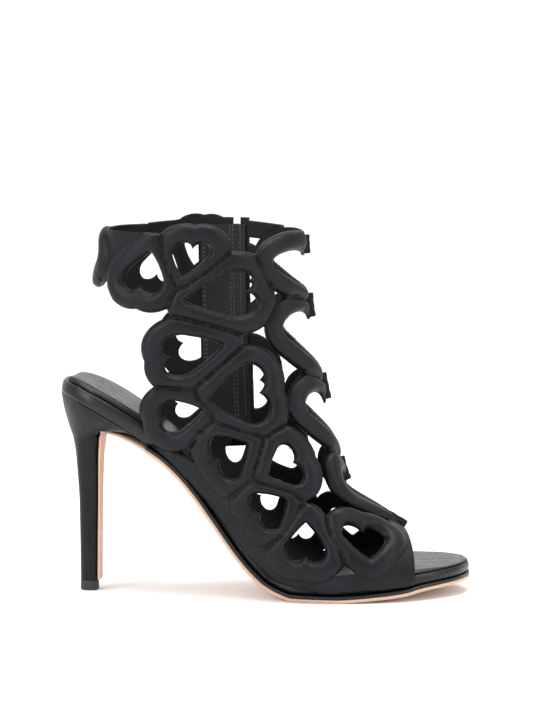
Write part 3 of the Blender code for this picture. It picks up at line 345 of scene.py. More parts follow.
class Last:
    """The inner surface of the upper, one half of it, as sections that each run from front to back."""

    def __init__(self):
        rows = np.array([[math.nan if x is None else x for x in row] for row in LAST_SECTIONS])
        closed = ~np.isnan(rows[:, 3])
        self.count = len(rows)
        steps = np.arange(self.count)
        back_u = along(rows[:, 2])
        back_z = rows[:, 3] * SHOE_HEIGHT
        floor_u, floor_z = lifted(back_u, UPPER_LIFT)
        floor = platform_half(back_u) + GAP
        back_u = np.where(closed, back_u, floor_u)
        back_z = np.where(closed, back_z, floor_z)
        floor = np.where(closed, 0, floor)
        floor[int(closed.sum()) - 1] = HEEL_CORNER_FLOOR * BALL_WIDTH * rows[int(closed.sum()) - 1, 4]
        values = [
            along(rows[:, 0]), rows[:, 1] * SHOE_HEIGHT, back_u, back_z, rows[:, 4] * BALL_WIDTH,
            rows[:, 5], rows[:, 6], floor,
        ]
        self.curves = [smooth_curve(list(zip(steps, column))) for column in values]
        self.closed_until = float(closed.sum() - 2)

    def frame(self, station):
        fu, fz, bu, bz = (self.curves[k](station) for k in range(4))
        return np.stack([fu, fz], -1), np.stack([bu, bz], -1)

    def width(self, station, t):
        half, widest, front, floor = (self.curves[k](station) for k in range(4, 8))
        half = np.maximum(half, floor)
        rise = np.clip(1 - t / widest, 0, 1)
        ahead = half * (1 - rise**front) ** (1 / front)
        fall = np.clip((t - widest) / (1 - widest), 0, 1)
        left = (1 - FLOOR_TUCK**LAST_BACK_ROUND) ** (1 / LAST_BACK_ROUND)
        left = left * np.clip(station - self.closed_until, 0, 1)
        tuck = (1 - left**LAST_BACK_ROUND) ** (1 / LAST_BACK_ROUND)
        curve = (1 - (fall * tuck) ** LAST_BACK_ROUND) ** (1 / LAST_BACK_ROUND)
        behind = floor + (half - floor) * (curve - left) / (1 - left)
        return np.where(t < widest, ahead, behind)

    def station_of(self, points):
        """The section whose line runs through each side-view point."""
        low = np.zeros(len(points))
        high = np.full(len(points), self.count - 1.0)

        def side(station):
            front, back = self.frame(station)
            line = back - front
            way = points - front
            return line[:, 0] * way[:, 1] - line[:, 1] * way[:, 0]

        start = side(low)
        for _ in range(30):
            middle = (low + high) / 2
            same = side(middle) * start > 0
            low = np.where(same, middle, low)
            high = np.where(same, high, middle)
        return (low + high) / 2

    def arcs(self, station):
        """Arc length from the front at each of a section's steps, less its length in the side view."""
        bend = np.linspace(0, math.pi, ARC_STEPS)
        t = (1 - np.cos(bend)) / 2
        front, back = self.frame(station)
        reach = np.linalg.norm(back - front, axis=-1)
        v = self.width(station[:, None], t[None, :])
        legs = np.hypot(np.diff(t)[None, :] * reach[:, None], np.diff(v, axis=1))
        arc = np.concatenate([np.zeros((len(station), 1)), np.cumsum(legs, axis=1)], axis=1)
        widest = self.curves[5](station)
        middle = np.array([np.interp(w, t, row) for w, row in zip(widest, arc)])
        return t, arc - middle[:, None] + (widest * reach)[:, None], reach, front, back

    def flat_of(self, points):
        """Side-view points as points of the flat pattern."""
        points = np.atleast_2d(np.asarray(points, float))
        station = self.station_of(points)
        t, place, reach, front, back = self.arcs(station)
        line = (back - front) / reach[:, None]
        here = np.clip(np.sum((points - front) * line, axis=1) / reach, 0, 1)
        moved = np.array([np.interp(h, t, row) for h, row in zip(here, place)])
        return front + line * moved[:, None]

    def line_of(self, station, t_end):
        """Flat points of a section end: 0 for the front line, 1 for the back line."""
        station = np.atleast_1d(np.asarray(station, float))
        _, place, reach, front, back = self.arcs(station)
        line = (back - front) / reach[:, None]
        return front + line * place[:, -1 if t_end else 0][:, None]

    def wrapped(self, flat):
        """Flat points on the last, as (u, v, z) on the medial half."""
        station = self.station_of(flat)
        t, place, reach, front, back = self.arcs(station)
        line = (back - front) / reach[:, None]
        moved = np.sum((flat - front) * line, axis=1)
        here = np.array([np.interp(m, row, t) for m, row in zip(moved, place)])
        surface = front + (back - front) * here[:, None]
        v = self.width(station, here)
        return np.stack([surface[:, 0], v, surface[:, 1]], -1)


def heart_outline(tip, left, right, cleft, count):
    """A heart from its tip round both lobes, skewed so that its lobes' shoulders fall on left and right."""
    radius, shoulder = LOBE_RADIUS, LOBE_SHOULDER
    centre = radius * math.sqrt(1 - (1 - cleft) ** 2)
    height = 1 - radius
    distance = math.hypot(centre, height)
    tangent = math.asin(radius / distance)
    lean = math.atan2(centre, height)
    touch = math.sqrt(distance**2 - radius**2)
    start = math.atan2(touch * math.cos(lean + tangent) - height, touch * math.sin(lean + tangent) - centre)
    end = math.atan2(radius * (1 - cleft), -centre)
    lobe = np.linspace(start, end, 48)
    side = np.linspace(0, 1, 24)[:-1, None] * np.array(
        [[centre + radius * math.cos(start), height + radius * math.sin(start)]]
    )
    side[:, 0] += 0.035 * np.sin(np.linspace(0, math.pi, 24)[:-1])
    round_lobe = np.stack([centre + radius * np.cos(lobe), height + radius * np.sin(lobe)], -1)
    half = np.concatenate([side, round_lobe])
    legs = np.linalg.norm(np.diff(half, axis=0), axis=1)
    run = np.concatenate([[0], np.cumsum(legs)])
    steps = np.linspace(0, run[-1], count // 2 + 1)
    half = np.stack([np.interp(steps, run, half[:, 0]), np.interp(steps, run, half[:, 1])], -1)
    mirrored = half[-2:0:-1] * [-1, 1]
    unit = np.concatenate([half, mirrored])
    across = (right - left) / (2 * (centre + radius * math.cos(shoulder)))
    up = ((left + right) / 2 - tip) / (height + radius * math.sin(shoulder))
    return tip + unit[:, :1] * across + unit[:, 1:] * up


def line_station(last, height, end):
    """The station whose front or back point is at this height."""
    stations = np.linspace(0, last.count - 1, 800)
    front, back = last.frame(stations)
    z = (back if end else front)[:, 1]
    if end:
        stations, z = stations[: 200], z[: 200]
    return float(np.interp(-height, -z, stations))


def centre_heart(last, row, end, count):
    """A heart whose axis lies on the front or the back line."""
    tip_z, cleft_z, reach, cleft = row
    tip = last.line_of(line_station(last, tip_z * SHOE_HEIGHT, end), end)[0]
    notch = last.line_of(line_station(last, cleft_z * SHOE_HEIGHT, end), end)[0]
    axis = notch - tip
    square = np.array([axis[1], -axis[0]]) / np.linalg.norm(axis)
    out = square * reach * BALL_WIDTH * LOBE_SPREAD
    shoulder_height = 1 - LOBE_RADIUS + LOBE_RADIUS * math.sin(LOBE_SHOULDER)
    top = tip + axis * shoulder_height / (1 - LOBE_RADIUS * cleft)
    return heart_outline(tip, top - out, top + out, cleft, count)


def hearts_of(last, count):
    outlines = []
    for tip, left, right, cleft in SIDE_HEARTS.values():
        side = np.array([tip, left, right]) * [SHOE_LENGTH, SHOE_HEIGHT] - [TREAD_SHARE * SHOE_LENGTH, 0]
        outlines.append(heart_outline(*last.flat_of(side), cleft, count))
    outlines += [centre_heart(last, row, 0, count) for row in FRONT_HEARTS.values()]
    outlines += [centre_heart(last, row, 1, count) for row in BACK_HEARTS.values()]
    return outlines


def nearest(points, outline):
    """Distance from each point to a closed outline, negative inside it."""
    ends = np.roll(outline, -1, axis=0)
    legs = ends - outline
    way = points[:, None, :] - outline[None, :, :]
    t = np.clip((way * legs).sum(-1) / (legs**2).sum(-1), 0, 1)
    away = np.linalg.norm(way - t[..., None] * legs, axis=-1).min(axis=1)
    return np.where(inside(points, outline), -away, away)


def inside(points, outline):
    ends = np.roll(outline, -1, axis=0)
    x, y = points[:, :1], points[:, 1:]
    spans = (outline[None, :, 1] > y) != (ends[None, :, 1] > y)
    rise = np.where(ends[:, 1] == outline[:, 1], 1, ends[:, 1] - outline[:, 1])
    cross = outline[:, 0] + (y - outline[:, 1]) / rise * (ends[:, 0] - outline[:, 0])
    return (spans & (x < cross)).sum(axis=1) % 2 == 1


def side_points(table):
    return np.array(table) * [SHOE_LENGTH, SHOE_HEIGHT] - [TREAD_SHARE * SHOE_LENGTH, 0]


def fields_at(points, outlines):
    """Distance to the nearest heart and to the second nearest."""
    distance = np.sort(np.stack([nearest(points, outline) for outline in outlines]), axis=0)
    return distance[0], distance[1]


def zip_route(last):
    """The zip's middle line in the flat pattern, from the collar down."""
    side = side_points([(0.425, 0.99), (0.426, 0.86), (0.43, 0.70), (0.435, 0.55), (0.44, 0.37)])
    return last.flat_of(side)


def route_points(route, start, end, count):
    """Evenly spaced points between two shares of a route's length."""
    legs = np.concatenate([[0], np.cumsum(np.linalg.norm(np.diff(route, axis=0), axis=1))])
    steps = np.linspace(start, end, count) * legs[-1]
    return np.stack([np.interp(steps, legs, route[:, 0]), np.interp(steps, legs, route[:, 1])], -1)


def beside(line, offset):
    """A line in the flat pattern moved sideways, towards the toe where the offset is positive."""
    way = np.gradient(line, axis=0)
    way /= np.linalg.norm(way, axis=1)[:, None]
    return line + np.stack([-way[:, 1], way[:, 0]], -1) * offset


def band_outline(line, front, back):
    """The outline of a band that reaches a distance to the front and to the back of a line."""
    return np.concatenate([beside(line, front), beside(line, -back)[::-1]])


def denser(outline, spacing):
    """The outline with points added so that none are further apart than the spacing."""
    out = []
    for a, b in zip(outline, np.roll(outline, -1, axis=0)):
        n = max(1, int(math.ceil(np.linalg.norm(b - a) / spacing)))
        out += [a + (b - a) * k / n for k in range(n)]
    return np.array(out)


CAMERA_LENS = 195.4
CAMERA_X = -0.0226
CAMERA_AIM = 0.122


def part_touching_corners(mesh):
    """Where pieces of leather meet at a bare point, only the largest keeps its triangles there."""
    for _ in range(8):
        extra = set()
        for vertex in mesh.verts:
            if sum(len(edge.link_faces) == 1 for edge in vertex.link_edges) <= 2:
                continue
            waiting, fans = set(vertex.link_faces), []
            while waiting:
                fan, reach = set(), [waiting.pop()]
                while reach:
                    face = reach.pop()
                    fan.add(face)
                    for edge in face.edges:
                        if vertex in edge.verts:
                            found = waiting.intersection(edge.link_faces)
                            waiting -= found
                            reach += found
                fans.append(fan)
            fans.sort(key=lambda fan: sum(face.calc_area() for face in fan))
            for fan in fans[:-1]:
                extra |= fan
        if not extra:
            return
        bmesh.ops.delete(mesh, geom=list(extra), context="FACES")


def keep_largest_piece(mesh):
    waiting, pieces = set(mesh.faces), []
    while waiting:
        piece, reach = set(), [waiting.pop()]
        while reach:
            face = reach.pop()
            piece.add(face)
            for edge in face.edges:
                found = waiting.intersection(edge.link_faces)
                waiting -= found
                reach += found
        pieces.append(piece)
    pieces.sort(key=len)
    bmesh.ops.delete(mesh, geom=[face for piece in pieces[:-1] for face in piece], context="FACES")

# Settings


def size(name, text, default, low=0.0, high=1.0):
    return FloatProperty(name=name, description=text, default=default, min=low, max=high, unit="LENGTH",
                         precision=5)


def share(name, text, default):
    return FloatProperty(name=name, description=text, default=default, min=0.0, max=1.0, subtype="FACTOR")


def colour(name, text, default):
    return FloatVectorProperty(name=name, description=text, default=default, size=3, min=0.0, max=1.0,
                               subtype="COLOR")


class UpperLook(bpy.types.PropertyGroup):
    crown: size("Crown", "Thickness of a padded frame at its crown", CROWN_THICKNESS, 0.001, 0.01)
    edge: size("Edge", "Thickness of a padded frame at the heart's edge", 1.2 * MM, 0.0005, 0.005)
    mesh_step: size("Mesh step", "Spacing of the pattern's points", 1.2 * MM, 0.0005, 0.01)
    leather: colour("Leather", "Colour of the upper's leather", (0.0034, 0.0036, 0.0056))
    lining: colour("Lining", "Colour of the lining", (0.0036, 0.0038, 0.0050))
    roughness: share("Roughness", "Roughness of the upper's leather", 0.42)


class SoleLook(bpy.types.PropertyGroup):
    glossy: colour("Glossy leather", "Colour of the platform and the sock", (0.0045, 0.0047, 0.0060))
    tan: colour("Tan edge", "Colour of the outsole and the breast leather", (0.62, 0.42, 0.31))
    rubber: colour("Rubber", "Colour of the heel tip", (0.016, 0.016, 0.017))
    sock_rise: size("Sock rise", "How far the padded sock stands above the platform", 2.2 * MM, 0.0, 0.01)


class ZipLook(bpy.types.PropertyGroup):
    pitch: size("Tooth pitch", "Distance between zip teeth", 1.3 * MM, 0.0005, 0.01)
    tape: colour("Tape", "Colour of the zip tape", (0.0035, 0.0035, 0.0042))
    metal: colour("Metal", "Colour of the zip's metal", (0.045, 0.045, 0.05))


class StitchLook(bpy.types.PropertyGroup):
    length: size("Stitch length", "Length of one stitch", 1.7 * MM, 0.0005, 0.01)
    pitch: size("Stitch pitch", "Distance between stitches", 2.3 * MM, 0.0005, 0.01)
    thread: size("Thread", "Thickness of the thread", 0.42 * MM, 0.0001, 0.003)
    colour: colour("Thread colour", "Colour of the thread", (0.030, 0.030, 0.033))


class StageLook(bpy.types.PropertyGroup):
    floor: colour("Floor", "Colour of the floor", (0.93, 0.93, 0.93))
    camera_distance: size("Camera distance", "Distance from the shoe to the camera", 2.0, 0.5, 10.0)
    camera_height: size("Camera height", "Height of the camera above the floor", 0.349, 0.0, 3.0)


def settings():
    return bpy.context.scene


# Materials


def shader_tree(name, base, roughness):
    material = bpy.data.materials.new(name)
    material.use_nodes = True
    nodes = material.node_tree.nodes
    shader = nodes["Principled BSDF"]
    shader.inputs["Base Color"].default_value = (*base, 1)
    shader.inputs["Roughness"].default_value = roughness
    place = nodes.new("ShaderNodeTexCoord")
    return material, nodes, material.node_tree.links, shader, place.outputs["Object"]


def noise_at(nodes, links, place, scale, detail=3.0):
    noise = nodes.new("ShaderNodeTexNoise")
    noise.inputs["Scale"].default_value = scale
    noise.inputs["Detail"].default_value = detail
    links.new(place, noise.inputs["Vector"])
    return noise.outputs["Fac"]


def mapped(nodes, links, value, low, high, from_low=0.3, from_high=0.7):
    ramp = nodes.new("ShaderNodeMapRange")
    ramp.inputs["From Min"].default_value = from_low
    ramp.inputs["From Max"].default_value = from_high
    ramp.inputs["To Min"].default_value = low
    ramp.inputs["To Max"].default_value = high
    links.new(value, ramp.inputs["Value"])
    return ramp.outputs["Result"]


def tinted(nodes, links, factor, first, second):
    mix = nodes.new("ShaderNodeMix")
    mix.data_type = "RGBA"
    mix.inputs[6].default_value = (*first, 1)
    mix.inputs[7].default_value = (*second, 1)
    links.new(factor, mix.inputs[0])
    return mix.outputs[2]


def toned(nodes, links, shader, value, first, second):
    """Sets the base colour between two tones by a noise value."""
    factor = mapped(nodes, links, value, 0.0, 1.0)
    links.new(tinted(nodes, links, factor, first, second), shader.inputs["Base Color"])


def bumped(nodes, links, height, strength, distance, under=None):
    bump = nodes.new("ShaderNodeBump")
    bump.inputs["Strength"].default_value = strength
    bump.inputs["Distance"].default_value = distance
    links.new(height, bump.inputs["Height"])
    if under is not None:
        links.new(under, bump.inputs["Normal"])
    return bump.outputs["Normal"]


def grain_height(nodes, links, place, scale):
    """Leather grain: small pebbles with finer noise between them."""
    cells = nodes.new("ShaderNodeTexVoronoi")
    cells.feature = "DISTANCE_TO_EDGE"
    cells.inputs["Scale"].default_value = scale
    links.new(place, cells.inputs["Vector"])
    pebble = mapped(nodes, links, cells.outputs["Distance"], 0.0, 1.0, 0.0, 0.25)
    fine = noise_at(nodes, links, place, scale * 0.8, 4.0)
    add = nodes.new("ShaderNodeMath")
    add.operation = "ADD"
    links.new(pebble, add.inputs[0])
    links.new(fine, add.inputs[1])
    return add.outputs[0]


def grained_leather(name, base, roughness, grain, strength, crease=None, gloss=0.21):
    """Dyed leather with fine grain, slow changes of tone, and painted shade: a darker colour where an
    attribute marks the grooves.
    """
    material, nodes, links, shader, place = shader_tree(name, base, roughness)
    tone = noise_at(nodes, links, place, 60.0)
    lighter = [min(1.0, c * 1.5 + 0.002) for c in base]
    darker = [c * 0.75 for c in base]
    colour_out = tinted(nodes, links, mapped(nodes, links, tone, 0.0, 1.0), darker, lighter)
    rough = mapped(nodes, links, noise_at(nodes, links, place, 190.0), roughness - 0.05, roughness + 0.07)
    links.new(rough, shader.inputs["Roughness"])
    # Painted shade: the colour is mixed towards a quarter of the base tone as far as the attribute reaches
    if crease:
        mark = nodes.new("ShaderNodeAttribute")
        mark.attribute_name = crease
        mix = nodes.new("ShaderNodeMix")
        mix.data_type = "RGBA"
        mix.inputs[7].default_value = (*[c * 0.25 for c in base], 1)
        links.new(mark.outputs["Fac"], mix.inputs[0])
        links.new(colour_out, mix.inputs[6])
        colour_out = mix.outputs[2]
    links.new(colour_out, shader.inputs["Base Color"])
    height = grain_height(nodes, links, place, grain)
    soft = bumped(nodes, links, noise_at(nodes, links, place, 140.0, 2.0), 0.25, 0.4 * MM)
    links.new(bumped(nodes, links, height, strength, 0.06 * MM, soft), shader.inputs["Normal"])
    shader.inputs["Specular IOR Level"].default_value = gloss
    return material


def tan_leather(name, base):
    """Vegetable-tanned sole leather: faint fibres along the edge and a burnished tone."""
    material, nodes, links, shader, place = shader_tree(name, base, 0.55)
    turn = nodes.new("ShaderNodeMapping")
    turn.inputs["Scale"].default_value = (1.0, 1.0, 6.0)
    links.new(place, turn.inputs["Vector"])
    fibre = noise_at(nodes, links, turn.outputs["Vector"], 260.0, 5.0)
    darker = [base[0] * 0.82, base[1] * 0.76, base[2] * 0.7]
    toned(nodes, links, shader, fibre, darker, base)
    links.new(mapped(nodes, links, fibre, 0.48, 0.66), shader.inputs["Roughness"])
    links.new(bumped(nodes, links, fibre, 0.3, 0.08 * MM), shader.inputs["Normal"])
    return material


def moulded_rubber(name, base):
    material, nodes, links, shader, place = shader_tree(name, base, 0.7)
    speck = noise_at(nodes, links, place, 900.0, 2.0)
    lighter = [c * 1.8 for c in base]
    toned(nodes, links, shader, speck, base, lighter)
    links.new(mapped(nodes, links, speck, 0.6, 0.8), shader.inputs["Roughness"])
    links.new(bumped(nodes, links, speck, 0.4, 0.1 * MM), shader.inputs["Normal"])
    return material


def woven_tape(name, base):
    """Twill tape: fine diagonal ribs."""
    material, nodes, links, shader, place = shader_tree(name, base, 0.5)
    shader.inputs["Specular IOR Level"].default_value = 0.3
    wave = nodes.new("ShaderNodeTexWave")
    wave.bands_direction = "DIAGONAL"
    wave.inputs["Scale"].default_value = 420.0
    wave.inputs["Distortion"].default_value = 1.2
    links.new(place, wave.inputs["Vector"])
    lighter = [c * 2.2 for c in base]
    links.new(tinted(nodes, links, wave.outputs["Fac"], base, lighter), shader.inputs["Base Color"])
    links.new(bumped(nodes, links, wave.outputs["Fac"], 0.5, 0.12 * MM), shader.inputs["Normal"])
    shader.inputs["Sheen Weight"].default_value = 0.06
    return material


def black_metal(name, base):
    material, nodes, links, shader, place = shader_tree(name, base, 0.3)
    shader.inputs["Metallic"].default_value = 1.0
    scratch = noise_at(nodes, links, place, 700.0, 4.0)
    lighter = [min(1.0, c * 1.6) for c in base]
    toned(nodes, links, shader, scratch, base, lighter)
    links.new(mapped(nodes, links, scratch, 0.24, 0.4), shader.inputs["Roughness"])
    return material


def spun_thread(name, base):
    material, nodes, links, shader, place = shader_tree(name, base, 0.6)
    twist = noise_at(nodes, links, place, 2200.0, 2.0)
    lighter = [c * 2.0 for c in base]
    toned(nodes, links, shader, twist, base, lighter)
    links.new(bumped(nodes, links, twist, 0.4, 0.1 * MM), shader.inputs["Normal"])
    shader.inputs["Sheen Weight"].default_value = 0.3
    return material


MAKERS = {
    # The upper leather gets painted shade in its grooves from the crease attribute
    "upper leather": lambda s: grained_leather(
        "Upper leather", s.upper_look.leather, s.upper_look.roughness, 1500.0, 0.35, "crease"),
    "lining leather": lambda s: grained_leather("Lining leather", s.upper_look.lining, 0.5, 1100.0, 0.5),
    "heel leather": lambda s: grained_leather("Heel leather", s.upper_look.leather, 0.4, 1700.0, 0.2),
    "glossy leather": lambda s: grained_leather(
        "Glossy leather", s.sole_look.glossy, 0.3, 1300.0, 0.3, gloss=0.36),
    "tan leather": lambda s: tan_leather("Tan leather", s.sole_look.tan),
    "rubber": lambda s: moulded_rubber("Moulded rubber", s.sole_look.rubber),
    "tape": lambda s: woven_tape("Zip tape", s.zip_look.tape),
    "metal": lambda s: black_metal("Black metal", s.zip_look.metal),
    "thread": lambda s: spun_thread("Black thread", s.stitch_look.colour),
}
made_materials = {}


def finish_of(name):
    if name not in made_materials:
        made_materials[name] = MAKERS[name](settings())
    return made_materials[name]


# Mesh help


def link_piece(name, mesh, materials, smooth=True):
    piece = bpy.data.objects.new(name, mesh)
    bpy.context.scene.collection.objects.link(piece)
    for material in materials:
        mesh.materials.append(finish_of(material))
    if smooth:
        mesh.shade_smooth()
    return piece


def mesh_from(name, vertices, faces):
    mesh = bpy.data.meshes.new(name)
    mesh.from_pydata([tuple(v) for v in vertices], [], [tuple(int(i) for i in face) for face in faces])
    body = bmesh.new()
    body.from_mesh(mesh)
    bmesh.ops.recalc_face_normals(body, faces=body.faces)
    body.to_mesh(mesh)
    body.free()
    return mesh


def baked(piece):
    """Applies a piece's modifiers to its own mesh."""
    graph = bpy.context.evaluated_depsgraph_get()
    mesh = bpy.data.meshes.new_from_object(piece.evaluated_get(graph))
    piece.modifiers.clear()
    piece.data = mesh
    return piece


def rounded(piece, width, segments=3, angle=40):
    bevel = piece.modifiers.new("rounding", "BEVEL")
    bevel.width = width
    bevel.segments = segments
    bevel.limit_method = "ANGLE"
    bevel.angle_limit = math.radians(angle)
    bevel.use_clamp_overlap = True
    return baked(piece)


def smooth_by_angle(piece, degrees=40):
    mesh = piece.data
    body = bmesh.new()
    body.from_mesh(mesh)
    for edge in body.edges:
        edge.smooth = len(edge.link_faces) != 2 or edge.calc_face_angle(0) < math.radians(degrees)
    for face in body.faces:
        face.smooth = True
    body.to_mesh(mesh)
    body.free()
    return piece


# Upper


def snapped(points, field, limit):
    """Points close to where a field is zero, moved onto it."""
    step = 0.05 * MM
    value = field(points)
    near = np.abs(value) < limit
    chosen = points[near]
    gx = (field(chosen + [step, 0]) - field(chosen - [step, 0])) / (2 * step)
    gy = (field(chosen + [0, step]) - field(chosen - [0, step])) / (2 * step)
    slope = np.maximum(gx**2 + gy**2, 0.2)
    points[near] = chosen - np.stack([gx, gy], -1) * (value[near] / slope)[:, None]
    return points


def fine_pattern(last, outlines, medial, step):
    """Points and triangles of one half of the upper, close enough for its padded relief."""
    panels = [last.flat_of(side_points(table)) for table in (ANKLE_PANEL, BASE_PANEL)]
    band = slit = None
    if medial:
        route = zip_route(last)
        band = band_outline(route, ZIP_BAND_FRONT, ZIP_BAND_BACK)
        slit = band_outline(route_points(route, 0, SLIT_END, 9), ZIP_SLIT_WIDTH / 2, ZIP_SLIT_WIDTH / 2)
        panels.append(last.flat_of(side_points(COLLAR_STRIP)))
        panels.append(band)
    front_line = last.line_of(np.linspace(0, last.count - 1, 500), 0)
    closed_line = last.line_of(np.linspace(0, last.closed_until, 160), 1)
    floor_line = last.line_of(np.linspace(last.closed_until + 1, last.count - 1, 320), 1)
    low = np.min([o.min(axis=0) for o in outlines], axis=0) - 25 * MM
    high = np.max([o.max(axis=0) for o in outlines], axis=0) + 25 * MM
    high[0] = max(high[0], along(0.86))
    rows = np.arange(low[1], high[1], step * 0.866)
    columns = np.arange(low[0], high[0], step)
    x, y = np.meshgrid(columns, rows)
    x = x + (np.arange(len(rows)) % 2)[:, None] * step / 2
    grid = np.stack([x.ravel(), y.ravel()], -1)

    near, _ = fields_at(grid, outlines)
    in_panel = np.zeros(len(grid), bool)
    for panel in panels:
        in_panel |= inside(grid, panel)
    grid = grid[(in_panel | (near < FRAME_WIDTH + step)) & (near > 0.5 * step)]

    points, edges = [], []

    def chain(chain_points, close=True):
        first = len(points)
        points.extend(chain_points)
        count = len(chain_points)
        edges.extend((first + k, first + (k + 1) % count) for k in range(count if close else count - 1))

    for outline in outlines:
        chain(list(outline))
    for panel in panels:
        chain(list(denser(panel, step * 1.5)))
    if slit is not None:
        chain(list(denser(slit, step)))
    for line in (front_line, closed_line, floor_line):
        chain(list(line), close=False)
    fixed = np.array(points)
    cells = {tuple(key) for key in np.round(fixed / (0.6 * step)).astype(int)}
    keep = [tuple(key) not in cells for key in np.round(grid / (0.6 * step)).astype(int)]
    grid = grid[np.array(keep)]
    grid = snapped(grid, lambda p: fields_at(p, outlines)[0] - FRAME_WIDTH, 0.5 * step)
    grid = snapped(grid, lambda p: signed_gap(p, outlines), 0.5 * step)
    points.extend(grid)
    coordinates = np.array(points)
    keys = np.round(coordinates / (0.12 * MM)).astype(int)
    _, index, inverse = np.unique(keys, axis=0, return_index=True, return_inverse=True)
    inverse = inverse.reshape(-1)
    coordinates = coordinates[index]
    edges = {tuple(sorted((int(inverse[a]), int(inverse[b])))) for a, b in edges}
    edges = [edge for edge in edges if edge[0] != edge[1]]
    made = delaunay_2d_cdt([Vector(p) for p in coordinates / MM], edges, [], 0, 0.01)
    flat = np.array([list(p) for p in made[0]]) * MM
    faces = np.array([face for face in made[2] if len(face) == 3])
    middle = flat[faces].mean(axis=1)
    near, _ = fields_at(middle, outlines)
    leather = (near > 0) & (near < FRAME_WIDTH)
    for panel in panels:
        leather |= inside(middle, panel) & ((near > 0) | (panel is band))
    if slit is not None:
        leather &= ~inside(middle, slit)
    station = last.station_of(middle)
    _, place, reach, front, back = last.arcs(station)
    moved = np.sum((middle - front) * (back - front), axis=1) / reach
    leather &= (moved > place[:, 0]) & (moved < place[:, -1])
    leather &= (station > 0.02) & (station < last.count - 1.02)
    return flat, faces[leather], band


def signed_gap(points, outlines):
    """How much nearer the nearest heart is than the next, with a sign that flips across the groove."""
    distance = np.stack([nearest(points, outline) for outline in outlines])
    order = np.argsort(distance, axis=0)
    rows = np.arange(len(points))
    first, second = order[0], order[1]
    gap = distance[second, rows] - distance[first, rows]
    sign = np.where(first < second, 1.0, -1.0)
    wide = (distance[first, rows] > FRAME_WIDTH) | (distance[second, rows] > 1.5 * FRAME_WIDTH)
    return np.where(wide, 1.0, gap * sign)


def puffed(last, flat, outlines, band, look):
    """Thickness of the padded leather, and the painted shade of the grooves: how deep in a groove each point
    lies.
    """
    near, second = fields_at(flat, outlines)
    near = np.maximum(near, 0)
    reach = np.minimum(FRAME_WIDTH, (near + second) / 2)
    across = np.clip(near / reach, 0, 1)
    shared_rim = second < FRAME_WIDTH * 1.02
    outer = np.where(shared_rim, GROOVE_THICKNESS, FLAT_THICKNESS)
    _, place, line_length, front, back = last.arcs(last.station_of(flat))
    line = (back - front) / line_length[:, None]
    from_seam = np.sum((flat - front) * line, axis=1) - place[:, 0]
    crown = look.crown * np.clip((reach / FRAME_WIDTH) ** 0.3, 0.6, 1)
    crown = FLAT_THICKNESS + (crown - FLAT_THICKNESS) * np.clip(from_seam / SEAM_FADE, 0.15, 1)
    inner_round = np.sqrt(1 - (1 - np.clip(across / 0.42, 0, 1)) ** 2)
    outer_round = np.sqrt(1 - (1 - np.clip((1 - across) / 0.5, 0, 1)) ** 2)
    rise = np.where(across < 0.45, look.edge + (crown - look.edge) * inner_round,
                    outer + (crown - outer) * outer_round)
    thickness = np.where(near > FRAME_WIDTH, FLAT_THICKNESS, rise)
    # Painted shade: strongest at each frame's outer edge, in the grooves between frames, and none beyond the
    # frames
    crease = np.exp(-(((1 - across) * reach) / GROOVE_SHADE_WIDTH) ** 2)
    crease = crease * np.where(near > FRAME_WIDTH * 1.01, 0, 1)
    if band is not None:
        held = inside(flat, band)
        thickness = np.where(held, FLAT_THICKNESS, thickness)
        crease = np.where(held, 0, crease)
    return thickness, crease


def cage_mesh(look):
    last = Last()
    outlines = hearts_of(last, 96)
    vertices, faces, depths, groove_shades = [], [], [], []
    for side in (-1, 1):
        flat, triangles, band = fine_pattern(last, outlines, side > 0, look.mesh_step)
        body = last.wrapped(flat)
        triangles = triangles[body[triangles, 1].max(axis=1) > 0.2 * MM]
        depth, crease = puffed(last, flat, outlines, band, look)
        offset = len(vertices)
        vertices.extend(swayed(body[:, 0], body[:, 1] * side, body[:, 2]))
        depths.extend(depth)
        groove_shades.extend(crease)
        faces.extend(triangles[:, ::-side] + offset)
    mesh = bmesh.new()
    depth_layer = mesh.verts.layers.float.new("depth")
    # The crease attribute carries the painted shade of the grooves into the leather's colour
    groove_shade_layer = mesh.verts.layers.float.new("crease")
    made = []
    for vertex, depth, crease in zip(vertices, depths, groove_shades):
        point = mesh.verts.new(vertex)
        point[depth_layer] = depth
        point[groove_shade_layer] = crease
        made.append(point)
    for face in faces:
        mesh.faces.new([made[i] for i in face])
    bmesh.ops.remove_doubles(mesh, verts=mesh.verts, dist=0.06 * MM)
    part_touching_corners(mesh)
    keep_largest_piece(mesh)
    bmesh.ops.delete(mesh, geom=[v for v in mesh.verts if not v.link_faces], context="VERTS")
    bmesh.ops.recalc_face_normals(mesh, faces=mesh.faces)
    data = bpy.data.meshes.new("upper_cage")
    depths = [vertex[depth_layer] for vertex in mesh.verts]
    mesh.to_mesh(data)
    mesh.free()
    return data, depths


class SHOE_OT_upper(bpy.types.Operator):
    """Makes the padded leather cage with its lining"""

    bl_idname = "shoe.upper"
    bl_label = "Upper"

    def execute(self, context):
        look = settings().upper_look
        data, depths = cage_mesh(look)
        cage = link_piece("upper_cage", data, ["upper leather", "lining leather"])
        group = cage.vertex_groups.new(name="depth")
        for index, depth in enumerate(depths):
            group.add([index], min(1, depth / look.crown), "REPLACE")
        wall = cage.modifiers.new("wall", "SOLIDIFY")
        wall.thickness = look.crown
        wall.offset = 1
        wall.vertex_group = "depth"
        wall.material_offset = 0
        baked(cage)
        cage.data.shade_smooth()
        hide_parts("upper")
        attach(cage, SHOE)
        return {"FINISHED"}


